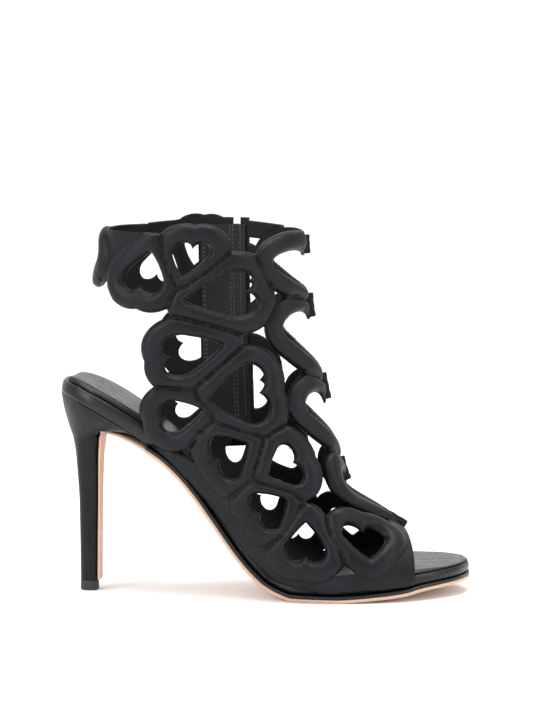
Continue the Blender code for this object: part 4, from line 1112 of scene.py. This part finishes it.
class SHOE_OT_tabs(bpy.types.Operator):
    """Makes the folded seam ends down the centre front"""

    bl_idname = "shoe.tabs"
    bl_label = "Front tabs"

    def execute(self, context):
        last = Last()
        for number, (top, bottom) in enumerate(TAB_SPANS, 1):
            tab = link_piece(f"seam_tab_{number}", mesh_from("seam_tab", *tab_shape(last, top, bottom)),
                             ["upper leather"])
            rounded(tab, 0.35 * MM)
            smooth_by_angle(tab, 50)
            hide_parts(f"front_tab_{number}")
            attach(tab, SHOE)
        return {"FINISHED"}


def closed_rings(rings):
    """Vertices and faces of a closed solid through rings with equal numbers of points."""
    size = len(rings[0])
    vertices = [point for ring in rings for point in ring]
    faces = []
    for level in range(len(rings) - 1):
        low, high = level * size, (level + 1) * size
        faces += [(low + k, low + (k + 1) % size, high + (k + 1) % size, high + k) for k in range(size)]
    faces.append(tuple(range(size))[::-1])
    faces.append(tuple(range((len(rings) - 1) * size, len(rings) * size)))
    return vertices, faces


def tab_shape(last, top, bottom):
    """Two leather edges folded side by side, a little uneven along their length."""
    start = line_station(last, top * SHOE_HEIGHT, 0)
    end = line_station(last, bottom * SHOE_HEIGHT, 0)
    stations = np.linspace(start, end, 14)
    front, _ = last.frame(stations)
    before, _ = last.frame(np.clip(stations - 0.05, 0, None))
    after, _ = last.frame(stations + 0.05)
    way = (after - before) / np.linalg.norm(after - before, axis=1)[:, None]
    out = np.stack([-way[:, 1], way[:, 0]], -1)
    rings = []
    for k, (point, direction) in enumerate(zip(front, out)):
        swell = 1 + 0.03 * math.sin(k * 1.3)
        near = point + direction * FLAT_THICKNESS * 0.6
        lift = (TAB_CLEARANCE + FLAT_THICKNESS * 0.4 + TAB_RISE) * swell
        levels = np.array([0.0, 0.55, 1.0, 0.92, 0.92, 1.0, 0.55, 0.0]) * lift
        v = np.array([-1.0, -1.0, -0.8, -0.08, 0.08, 0.8, 1.0, 1.0]) * TAB_WIDTH / 2
        rings.append(swayed(near[0] + direction[0] * levels, v, near[1] + direction[1] * levels))
    return closed_rings(rings)


# Sole and heel


def sole_half(u):
    return platform_half(u) + TOE_MARGIN + (WELT_MARGIN - TOE_MARGIN) * margin_share(share_of(u))


def outsole_top(u):
    return -2 * GAP - WELT_THICKNESS - seat_drop(u)


def fine_rows(start, end, half, count=150):
    """Stations from start to end, closer at both ends, with the half-width at each."""
    ends = np.array([0, 0.04, 0.15, 0.35, 0.65, 1.05, 1.6, 2.3, 3.1, 4.0, 5.0]) * MM
    inner = np.linspace(start, end, count)
    inner = inner[(inner > start + ends[-1] + 0.4 * MM) & (inner < end - ends[-1] - 0.4 * MM)]
    u = np.concatenate([start + ends, inner, (end - ends)[::-1]])
    return u, np.maximum(half(u), 0.3 * MM)


def slab(name, u, half, rings, materials):
    """A closed piece along the seat line. Each ring is an inset from the outline and a lift off that line."""
    loop = np.concatenate([np.stack([u, -half], -1), np.stack([u, half], -1)[::-1]])
    way = np.roll(loop, -1, axis=0) - np.roll(loop, 1, axis=0)
    out = np.stack([way[:, 1], -way[:, 0]], -1)
    out /= np.maximum(np.linalg.norm(out, axis=1), 1e-9)[:, None]
    count, size = len(u), 2 * len(u)
    vertices, faces = [], []
    for inset, lift in rings:
        inner = loop - out * inset
        inner[:, 1] = np.where(np.sign(inner[:, 1]) == np.sign(loop[:, 1]), inner[:, 1], 0)
        place_u, z = lifted(inner[:, 0], lift(inner[:, 0]))
        vertices.extend(swayed(place_u, inner[:, 1], z))
    for level in range(len(rings) - 1):
        low, high = level * size, (level + 1) * size
        faces += [(low + k, low + (k + 1) % size, high + (k + 1) % size, high + k) for k in range(size)]
    for first in (0, (len(rings) - 1) * size):
        for k in range(count - 1):
            near = [first + k, first + k + 1, first + size - 2 - k, first + size - 1 - k]
            faces.append(near if first == 0 else near[::-1])
    piece = link_piece(name, mesh_from(name, vertices, faces), materials)
    return smooth_by_angle(piece, 50)


def pillow_rings(thickness, inset, count=14, base=0.0):
    """Rings of a rounded rim: in at the bottom, full at half height, and in again at the top."""
    rings = []
    for share in np.linspace(0, 1, count):
        angle = math.pi * share
        lift = 0.5 - 0.5 * math.cos(angle)
        rings.append((inset * (1 - math.sin(angle) ** 0.6), lambda u, lift=lift: base + thickness(u) * lift))
    return rings


class SHOE_OT_platform(bpy.types.Operator):
    """Makes the wrapped platform under the foot"""

    bl_idname = "shoe.platform"
    bl_label = "Platform"

    def execute(self, context):
        u, half = fine_rows(along(0.0), along(1.0), platform_half)
        rim = pillow_rings(platform_thickness, 1.5 * MM)
        platform = slab("insole_rim", u, half, rim, ["glossy leather"])
        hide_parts("insole_platform")
        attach(platform, SHOE)
        return {"FINISHED"}


def sock_half(u):
    """The sock's half-width: inset from the platform, and drawn in to a round end at the toe."""
    inset = SOCK_INSET - (SOCK_INSET - SOCK_TOE_INSET) * np.clip(
        (share_of(u) - SOCK_TOE_START) / SOCK_TOE_LENGTH, 0, 1)
    return platform_half(u + inset * np.clip((share_of(u) - 0.9) / 0.1, 0, 1) * 0.2) - inset * np.clip(
        (1 - share_of(u)) / 0.01, 0, 1)


class SHOE_OT_sock(bpy.types.Operator):
    """Makes the padded sock with its rounded edge and soft creases"""

    bl_idname = "shoe.sock"
    bl_label = "Sock"

    def execute(self, context):
        rise = settings().sole_look.sock_rise
        start, end = along(0.0) + SOCK_INSET, along(1.0) - 1.2 * MM
        u, half = fine_rows(start, end, sock_half, 190)
        across = np.sin(np.linspace(-1, 1, 61) * math.pi / 2)
        grid_u = np.repeat(u[:, None], len(across), axis=1)
        grid_v = half[:, None] * across[None, :]
        edge = np.minimum(half[:, None] - np.abs(grid_v), np.minimum(grid_u - start, end - grid_u))
        plump = np.sqrt(1 - (1 - np.clip(edge / SOCK_ROUND, 0, 1)) ** 2)
        waves = np.sin(grid_u / (9 * MM) + 2.2 * np.sin(grid_v / (17 * MM)))
        crease = waves * np.sin(grid_v / (12 * MM) + 0.6)
        lift = SOCK_CREASE + rise * plump + SOCK_CREASE * crease * np.clip(edge / (6 * MM), 0, 1)
        lift *= 1 - 0.75 * np.clip((share_of(grid_u) - SOCK_TOE_START) / SOCK_TOE_LENGTH, 0, 1)
        vertices, faces = [], []
        wide, rows = len(across), len(u)
        for extra in (lift, np.zeros_like(lift)):
            flat_u = grid_u.ravel()
            place_u, z = lifted(flat_u, platform_thickness(flat_u) + SOCK_GAP + extra.ravel())
            vertices.extend(swayed(place_u, grid_v.ravel(), z))
        under = wide * rows
        for row in range(rows - 1):
            for k in range(wide - 1):
                a = row * wide + k
                faces.append((a, a + 1, a + wide + 1, a + wide))
                faces.append((under + a, under + a + wide, under + a + wide + 1, under + a + 1))
        border = [row * wide for row in range(rows)]
        border += [(rows - 1) * wide + k for k in range(1, wide)]
        border += [row * wide + wide - 1 for row in range(rows - 2, -1, -1)]
        border += [k for k in range(wide - 2, 0, -1)]
        for a, b in zip(border, border[1:] + border[:1]):
            faces.append((a, b, under + b, under + a))
        sock = link_piece("sock", mesh_from("sock", vertices, faces), ["glossy leather"])
        smooth_by_angle(sock, 60)
        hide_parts("sock_pad")
        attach(sock, SHOE)
        return {"FINISHED"}


class SHOE_OT_outsole(bpy.types.Operator):
    """Makes the thin glossy edge and the tan outsole under it"""

    bl_idname = "shoe.outsole"
    bl_label = "Outsole"

    def execute(self, context):
        u, half = fine_rows(along(WELT_START), along(1.0), sole_half)
        rings = pillow_rings(lambda x: WELT_THICKNESS + 0 * x, 0.5 * MM, 9, -GAP - WELT_THICKNESS)
        welt = slab("welt_edge", u, half, rings, ["glossy leather"])
        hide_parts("welt")
        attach(welt, SHOE)
        u, half = fine_rows(along(OUTSOLE_START), along(1.0),
                            lambda x: sole_half(x) * waist_share(share_of(x)))
        rings = [(inset * MM, lambda x, s=s: outsole_top(x) - OUTSOLE_THICKNESS * (1 - s))
                 for inset, s in OUTSOLE_EDGE]
        sole = slab("tan_outsole", u, half, rings, ["tan leather"])
        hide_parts("outsole")
        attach(sole, SHOE)
        return {"FINISHED"}


def ring_shape(count):
    """Directions round a heel section: rounded at the back and flatter across the breast."""
    turn = np.linspace(0, 2 * math.pi, count, endpoint=False)
    back, across = np.cos(turn), np.sin(turn)
    flat = np.where(back < 0, -np.abs(back) ** 0.45, back)
    wide = np.where(back < 0, np.sign(across) * np.abs(across) ** 0.6, across)
    return flat, wide


def heel_sizes(height):
    """Back edge, breast and half-width of the heel at a share of its height."""
    return [smooth_curve([(row[3], row[column]) for row in HEEL_SECTIONS])(height) for column in (0, 1, 2)]


def heel_rings(count=120):
    back_way, side_way = ring_shape(count)
    rings = []
    heights = np.linspace(HEEL_SECTIONS[0][3], HEEL_SECTIONS[-1][3], 26)
    for share_up in heights:
        back, front, half = heel_sizes(share_up)
        middle, reach = (along(back) + along(front)) / 2, (along(front) - along(back)) / 2
        rings.append(swayed(middle - reach * back_way, half * BALL_WIDTH * side_way,
                            np.full(count, share_up * HEEL_HEIGHT)))
    back, front, half, height = HEEL_SECTIONS[-1]
    back, front, half, height = along(back), along(front), half * BALL_WIDTH, height * HEEL_HEIGHT
    seat_back, seat_front = along(0.0) + HEEL_SEAT_INSET, along(HEEL_SEAT_FRONT)
    u_seat = (seat_back + seat_front) / 2 - (seat_front - seat_back) / 2 * back_way
    edge = np.minimum(platform_half(u_seat), platform_half(along(0.14)))
    v_seat = np.sign(side_way) * np.maximum(edge - HEEL_SEAT_INSET, 0) * np.abs(side_way) ** 0.15
    v_seat = np.where(np.abs(side_way) < 1e-6, 0, v_seat)
    low = np.stack([(back + front) / 2 - (front - back) / 2 * back_way, half * side_way], -1)
    high = np.stack([lifted(u_seat, -GAP)[0], v_seat], -1)
    sink_at = smooth_curve([(0.0, 1.0), (0.55, 0.55), (0.85, 0.25), (1.0, 0.0)])
    for blend in (0.06, 0.14, 0.24, 0.34, 0.45, 0.55, 0.65, 0.75, 0.85, 0.92, 0.97, 1.0):
        mixed = low + (high - low) * blend
        _, z_mixed = lifted(mixed[:, 0], -GAP)
        sink = sink_at(blend)
        z = z_mixed - sink * (z_mixed - height)
        _, z_floor = lifted(mixed[:, 0], outsole_top(mixed[:, 0]) + GAP)
        z = np.where(mixed[:, 0] > along(ROOM_START), np.maximum(z, z_floor), z)
        z = np.minimum(z, z_mixed - sink * 0.5 * MM)
        rings.append(swayed(mixed[:, 0], mixed[:, 1], z))
    return rings


def strap_ring(place, down, half, thickness):
    """A ring of a strap whose outer face lies a thickness away from a place, as (u, z), along a direction."""
    v = np.linspace(-half, half, 9)
    u = np.concatenate([np.full(9, place[0]), np.full(9, place[0] + down[0] * thickness)])
    z = np.concatenate([np.full(9, place[1]), np.full(9, place[1] + down[1] * thickness)])
    return swayed(u, np.concatenate([v, v[::-1]]), z)


class SHOE_OT_heel(bpy.types.Operator):
    """Makes the covered heel, its rubber tip and the tan leather down its breast"""

    bl_idname = "shoe.heel"
    bl_label = "Heel"

    def execute(self, context):
        heel = link_piece("heel_cover", mesh_from("heel_cover", *closed_rings(heel_rings())),
                          ["heel leather"])
        u, half = fine_rows(along(ROOM_START), along(ROOM_END), lambda x: sole_half(x) + ROOM_SIDE, 30)
        room = [(0.0, lambda x: outsole_top(x) - OUTSOLE_THICKNESS - ROOM_DEPTH),
                (0.0, lambda x: outsole_top(x) + GAP)]
        cutter = slab("outsole_room", u, half, room, [])
        cut = heel.modifiers.new("room for the outsole", "BOOLEAN")
        cut.operation = "DIFFERENCE"
        cut.object = cutter
        baked(heel)
        bpy.data.objects.remove(cutter, do_unlink=True)
        smooth_by_angle(heel, 45)
        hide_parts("heel")
        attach(heel, SHOE)

        back, front, half, height = HEEL_SECTIONS[0]
        back_way, side_way = ring_shape(72)
        middle, reach = (along(back) + along(front)) / 2, (along(front) - along(back)) / 2
        rings = []
        top = height * HEEL_HEIGHT - GAP
        for z in (0.0, top * 0.33, top * 0.66, top):
            rings.append(swayed(middle - reach * back_way, half * BALL_WIDTH * side_way, np.full(72, z)))
        tip = link_piece("rubber_tip", mesh_from("rubber_tip", *closed_rings(rings)), ["rubber"])
        rounded(tip, 0.35 * MM)
        smooth_by_angle(tip, 50)
        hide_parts("heel_tip")
        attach(tip, SHOE)

        rings = []
        for height in np.linspace(FLAP_SECTIONS[0][2], FLAP_SECTIONS[-1][2], 26):
            edge, half = (smooth_curve([(row[2], row[column]) for row in FLAP_SECTIONS])(height)
                          for column in (0, 1))
            near, wide = along(edge) + GAP, half * BALL_WIDTH
            rings.append(strap_ring((near, height * HEEL_HEIGHT), (1, 0), wide, FLAP_THICKNESS))
        foot = np.array([near, height * HEEL_HEIGHT])
        meet = along(OUTSOLE_START) + 2 * MM
        end_half = float(sole_half(meet) * waist_share(share_of(meet)))
        end = np.array(lifted(meet, outsole_top(meet)))
        normal = np.array(seat_normal(meet))
        corner = np.array([foot[0] + 0.4 * MM, end[1] + (end[0] - foot[0]) * 0.25])
        for t in np.linspace(0.08, 1, 14):
            place = (1 - t) ** 2 * foot + 2 * t * (1 - t) * corner + t**2 * end
            way = 2 * (1 - t) * (corner - foot) + 2 * t * (end - corner)
            way = (1 - t) * way / np.linalg.norm(way) + t * np.array([normal[1], -normal[0]])
            way /= np.linalg.norm(way)
            half = wide + (end_half - wide) * t
            rings.append(strap_ring(place, (way[1], -way[0]), half, FLAP_THICKNESS))
        flap = link_piece("breast_leather", mesh_from("breast_leather", *closed_rings(rings)),
                          ["tan leather"])
        rounded(flap, 0.3 * MM)
        smooth_by_angle(flap, 50)
        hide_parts("heel_breast_flap")
        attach(flap, SHOE)
        return {"FINISHED"}


# Zip and stitches


def medial_place(last, flat, lift):
    """Flat points on the medial side, moved out by a lift, in place, with the outward direction at each."""
    step = 0.5 * MM

    def at(points):
        body = last.wrapped(points)
        return swayed(body[:, 0], body[:, 1], body[:, 2])

    here = at(flat)
    normal = np.cross(at(flat + [0, step]) - here, at(flat + [step, 0]) - here)
    normal /= np.linalg.norm(normal, axis=1)[:, None]
    return here + normal * lift, normal


def fine_strip(last, line, front, back, low, high):
    """Rings of a thin strip along a line on the medial side."""
    rings = []
    sides = [beside(line, offset) for offset in np.linspace(-back, front, 13)]
    for k in range(len(line)):
        flat = np.array([side[k] for side in sides])
        near, _ = medial_place(last, flat, low)
        far, _ = medial_place(last, flat[::-1], high)
        rings.append(np.concatenate([near, far]))
    return rings


def repeat_tree():
    """Geometry nodes that set a rounded bead again and again along a line."""
    if "Repeat along a line" in bpy.data.node_groups:
        return bpy.data.node_groups["Repeat along a line"]
    tree = bpy.data.node_groups.new("Repeat along a line", "GeometryNodeTree")
    face = tree.interface
    face.new_socket("Line", in_out="INPUT", socket_type="NodeSocketGeometry")
    face.new_socket("Spacing", in_out="INPUT", socket_type="NodeSocketFloat")
    face.new_socket("Bead size", in_out="INPUT", socket_type="NodeSocketVector")
    face.new_socket("Material", in_out="INPUT", socket_type="NodeSocketMaterial")
    face.new_socket("Beads", in_out="OUTPUT", socket_type="NodeSocketGeometry")
    add, join = tree.nodes.new, tree.links.new
    inlet, outlet = add("NodeGroupInput"), add("NodeGroupOutput")
    curve, spaced = add("GeometryNodeMeshToCurve"), add("GeometryNodeResampleCurve")
    spaced.mode = "LENGTH"
    tangent, up = add("GeometryNodeInputTangent"), add("GeometryNodeInputNamedAttribute")
    up.data_type = "FLOAT_VECTOR"
    up.inputs["Name"].default_value = "up"
    along_x, towards_z = add("FunctionNodeAlignRotationToVector"), add("FunctionNodeAlignRotationToVector")
    along_x.axis = "X"
    towards_z.axis = "Z"
    towards_z.pivot_axis = "X"
    bead, shape = add("GeometryNodeMeshUVSphere"), add("GeometryNodeTransform")
    bead.inputs["Segments"].default_value = 10
    bead.inputs["Rings"].default_value = 7
    bead.inputs["Radius"].default_value = 0.5
    smooth = add("GeometryNodeSetShadeSmooth")
    copies, real, paint = add("GeometryNodeInstanceOnPoints"), add("GeometryNodeRealizeInstances"), add(
        "GeometryNodeSetMaterial")
    join(inlet.outputs["Line"], curve.inputs["Mesh"])
    join(curve.outputs["Curve"], spaced.inputs["Curve"])
    join(inlet.outputs["Spacing"], spaced.inputs["Length"])
    join(tangent.outputs["Tangent"], along_x.inputs["Vector"])
    join(along_x.outputs["Rotation"], towards_z.inputs["Rotation"])
    join(up.outputs["Attribute"], towards_z.inputs["Vector"])
    join(bead.outputs["Mesh"], shape.inputs["Geometry"])
    join(inlet.outputs["Bead size"], shape.inputs["Scale"])
    join(shape.outputs["Geometry"], smooth.inputs["Geometry"])
    join(spaced.outputs["Curve"], copies.inputs["Points"])
    join(smooth.outputs["Geometry"], copies.inputs["Instance"])
    join(towards_z.outputs["Rotation"], copies.inputs["Rotation"])
    join(copies.outputs["Instances"], real.inputs["Geometry"])
    join(real.outputs["Geometry"], paint.inputs["Geometry"])
    join(inlet.outputs["Material"], paint.inputs["Material"])
    join(paint.outputs["Geometry"], outlet.inputs["Beads"])
    return tree


def beads(name, lines, spacing, bead_size, material):
    """One mesh of beads along several lines. Each line is its points and the outward direction at each."""
    mesh = bpy.data.meshes.new(name)
    points = np.concatenate([line for line, _ in lines])
    edges, first = [], 0
    for line, _ in lines:
        edges += [(first + k, first + k + 1) for k in range(len(line) - 1)]
        first += len(line)
    mesh.from_pydata([tuple(p) for p in points], edges, [])
    up = mesh.attributes.new("up", "FLOAT_VECTOR", "POINT")
    up.data.foreach_set("vector", np.concatenate([ways for _, ways in lines]).astype(np.float32).ravel())
    piece = link_piece(name, mesh, [], smooth=False)
    tree = repeat_tree()
    modifier = piece.modifiers.new("beads", "NODES")
    modifier.node_group = tree
    values = {"Spacing": spacing, "Bead size": bead_size, "Material": finish_of(material)}
    for item in tree.interface.items_tree:
        if item.in_out == "INPUT" and item.name in values:
            modifier[item.identifier] = values[item.name]
    return baked(piece)


def slider_place(last, route):
    """A point at the slider's top end on the wall, with the ways down the zip, across it and outwards."""
    points, normals = medial_place(last, route_points(route, SLIDER_PLACE, SLIDER_PLACE + 0.02, 2), 0.0)
    out = normals[0]
    down = points[1] - points[0]
    down -= out * (down @ out)
    down /= np.linalg.norm(down)
    return points[0], down, np.cross(down, out), out


def plate(outline, low, high):
    """A flat plate from an outline in the zip's plane: columns are across and down."""
    rings = []
    for lift in (low, high):
        rings.append([(a, b, lift) for a, b in outline])
    return closed_rings(rings)


def placed(shape, origin, across, down, out):
    vertices, faces = shape
    return [origin + across * a + down * b + out * c for a, b, c in vertices], faces


def round_corners(wide, start, end, radius, steps=6, taper=1.0):
    """Outline of a rounded rectangle, narrower at its end by the taper."""
    points = []
    for cx, cy, turn in ((1, end, 0), (-1, end, 90), (-1, start, 180), (1, start, 270)):
        near = wide / 2 * (taper if cy == end else 1.0) - radius
        y = cy - radius if cy == end else cy + radius
        for k in range(steps + 1):
            angle = math.radians(turn + 90 * k / steps)
            points.append((cx * near + radius * math.cos(angle), y + radius * math.sin(angle)))
    return points


class SHOE_OT_zip(bpy.types.Operator):
    """Makes the zip on the inner side: tape, teeth, slider and pull"""

    bl_idname = "shoe.zip"
    bl_label = "Zip"

    def execute(self, context):
        look = settings().zip_look
        last = Last()
        route = zip_route(last)
        line = route_points(route, ZIP_START, TAPE_END, 90)
        tape = fine_strip(last, line, ZIP_BAND_FRONT - TAPE_MARGIN, ZIP_BAND_BACK - TAPE_MARGIN,
                          -GAP - TAPE_THICKNESS, -GAP)
        tape = link_piece("zip_fabric", mesh_from("zip_fabric", *closed_rings(tape)), ["tape"])
        smooth_by_angle(tape, 50)
        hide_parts("zip_tape")
        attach(tape, SHOE)

        middle = route_points(route, ZIP_START, TEETH_END, 120)
        rows = [medial_place(last, beside(middle, offset), COIL_LIFT) for offset in (-COIL_SIDE, COIL_SIDE)]
        teeth = beads("zip_coil", rows, look.pitch, COIL_BEAD, "metal")
        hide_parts("zip_teeth")
        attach(teeth, SHOE)

        origin, down, across, out = slider_place(last, route)
        bottom = FLAT_THICKNESS + 2 * GAP
        top = bottom + SLIDER_THICKNESS
        body = round_corners(SLIDER_WIDTH, 0.0, SLIDER_LENGTH, 1.2 * MM, taper=0.72)
        shape = placed(plate(body, bottom, top), origin, across, down, out)
        slider = link_piece("zip_runner", mesh_from("zip_runner", *shape), ["metal"])
        rounded(slider, 0.3 * MM)
        smooth_by_angle(slider, 40)
        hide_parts("zip_slider")
        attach(slider, SHOE)

        lift = top + GAP + PULL_THICKNESS
        hinge = SLIDER_LENGTH * 0.35
        half = PULL_THICKNESS / 2
        outer = round_corners(PULL_WIDTH, hinge - half, hinge + PULL_LENGTH, 1.6 * MM, taper=0.8)
        shape = placed(plate(outer, lift - half, lift + half), origin, across, down, out)
        pull = link_piece("zip_pull_tab", mesh_from("zip_pull_tab", *shape), ["metal"])
        rounded(pull, 0.25 * MM)
        smooth_by_angle(pull, 40)
        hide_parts("zip_pull")
        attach(pull, PULL)
        return {"FINISHED"}


class SHOE_OT_stitches(bpy.types.Operator):
    """Sews the stitch rows along the zip, on both faces of its band"""

    bl_idname = "shoe.stitches"
    bl_label = "Stitches"

    def execute(self, context):
        look = settings().stitch_look
        last = Last()
        line = route_points(zip_route(last), STITCH_START, STITCH_END, 160)
        stitch = (look.length, look.thread * 1.3, look.thread)
        rows = [medial_place(last, beside(line, offset), FLAT_THICKNESS + look.thread * 0.2)
                for offset in BAND_STITCHES]
        stitches = beads("zip_stitches", rows, look.pitch, stitch, "thread")
        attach(stitches, SHOE)
        rows = []
        for offset in TAPE_STITCHES:
            points, ways = medial_place(last, beside(line[:TAPE_STITCH_COUNT], offset),
                                        -GAP - TAPE_THICKNESS - look.thread * 0.2)
            rows.append((points, -ways))
        inner = beads("tape_stitches", rows, look.pitch, stitch, "thread")
        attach(inner, SHOE)
        return {"FINISHED"}


# Stage


def area_light(name, place, target, size_of, power):
    light = bpy.data.lights.new(name, "AREA")
    light.shape = "RECTANGLE"
    light.size, light.size_y = size_of
    light.energy = power
    lamp = bpy.data.objects.new(name, light)
    lamp.location = place
    lamp.rotation_euler = (Vector(target) - Vector(place)).to_track_quat("-Z", "Y").to_euler()
    bpy.context.scene.collection.objects.link(lamp)


class SHOE_OT_stage(bpy.types.Operator):
    """Makes the pale floor with its sweep, the soft lights and the camera"""

    bl_idname = "shoe.stage"
    bl_label = "Stage"

    def execute(self, context):
        look = settings().stage_look
        profile = [(-6.0, 0.0), (1.2, 0.0)]
        profile += [(1.2 + math.sin(a), 1 - math.cos(a)) for a in np.linspace(0.08, math.pi / 2, 20)]
        profile.append((2.2, 5.0))
        vertices = [(x, y, z) for y, z in profile for x in (-6.0, 6.0)]
        faces = [(2 * k, 2 * k + 1, 2 * k + 3, 2 * k + 2) for k in range(len(profile) - 1)]
        mesh = bpy.data.meshes.new("floor")
        mesh.from_pydata(vertices, [], faces)
        mesh.shade_smooth()
        floor = bpy.data.objects.new("floor", mesh)
        bpy.context.scene.collection.objects.link(floor)
        material, nodes, links, shader, place = shader_tree("Floor paper", look.floor, 0.9)
        tone = noise_at(nodes, links, place, 3.0)
        darker = [c * 0.985 for c in look.floor]
        links.new(tinted(nodes, links, tone, look.floor, darker), shader.inputs["Base Color"])
        mesh.materials.append(material)

        world = bpy.data.worlds.new("Studio")
        world.use_nodes = True
        world.node_tree.nodes["Background"].inputs["Color"].default_value = (1, 1, 1, 1)
        world.node_tree.nodes["Background"].inputs["Strength"].default_value = 0.8
        bpy.context.scene.world = world
        bpy.context.scene.view_settings.view_transform = "Standard"
        area_light("Top softbox", (0.0, -0.1, 1.6), (0, 0, 0.05), (1.5, 1.0), 26)
        area_light("Left softbox", (-1.3, -1.1, 0.9), (0, 0, 0.08), (0.7, 1.1), 15)
        area_light("Right softbox", (1.3, -0.8, 0.8), (0, 0, 0.08), (0.7, 1.2), 7)

        camera = bpy.data.cameras.new("Camera")
        camera.lens = CAMERA_LENS
        camera.sensor_width = 36
        camera.sensor_fit = "AUTO"
        camera.clip_start, camera.clip_end = 0.05, 50
        camera.dof.use_dof = False
        eye = bpy.data.objects.new("Camera", camera)
        centre = Vector((CAMERA_X, 0, CAMERA_AIM))
        eye.location = (CAMERA_X, -look.camera_distance, look.camera_height)
        eye.rotation_euler = (centre - eye.location).to_track_quat("-Z", "Y").to_euler()
        bpy.context.scene.collection.objects.link(eye)
        bpy.context.scene.camera = eye
        return {"FINISHED"}


class SHOE_PT_panel(bpy.types.Panel):
    bl_label = "Heart cage heel"
    bl_idname = "SHOE_PT_panel"
    bl_space_type = "VIEW_3D"
    bl_region_type = "UI"
    bl_category = "Shoe"

    def draw(self, context):
        scene = context.scene
        for title, look in LOOKS:
            box = self.layout.box()
            box.label(text=title)
            for name in getattr(scene, look).bl_rna.properties.keys():
                if name not in ("rna_type", "name"):
                    box.prop(getattr(scene, look), name)
        for step in STEPS:
            self.layout.operator(step)


LOOKS = [("Upper", "upper_look"), ("Sole", "sole_look"), ("Zip", "zip_look"), ("Stitches", "stitch_look"),
         ("Stage", "stage_look")]
STEPS = ["shoe.upper", "shoe.tabs", "shoe.platform", "shoe.sock", "shoe.outsole", "shoe.heel", "shoe.zip",
         "shoe.stitches", "shoe.stage"]
GROUPS = {"upper_look": UpperLook, "sole_look": SoleLook, "zip_look": ZipLook, "stitch_look": StitchLook,
          "stage_look": StageLook}
CLASSES = [*GROUPS.values(), SHOE_OT_upper, SHOE_OT_tabs, SHOE_OT_platform, SHOE_OT_sock, SHOE_OT_outsole,
           SHOE_OT_heel, SHOE_OT_zip, SHOE_OT_stitches, SHOE_OT_stage, SHOE_PT_panel]


def register():
    for item in CLASSES:
        bpy.utils.register_class(item)
    for name, group in GROUPS.items():
        setattr(bpy.types.Scene, name, PointerProperty(type=group))


def unregister():
    for name in GROUPS:
        delattr(bpy.types.Scene, name)
    for item in reversed(CLASSES):
        bpy.utils.unregister_class(item)


def main():
    register()
    bpy.ops.shoe.upper()
    bpy.ops.shoe.tabs()
    bpy.ops.shoe.platform()
    bpy.ops.shoe.sock()
    bpy.ops.shoe.outsole()
    bpy.ops.shoe.heel()
    bpy.ops.shoe.zip()
    bpy.ops.shoe.stitches()
    bpy.ops.shoe.stage()


if __name__ == "__main__":
    main()
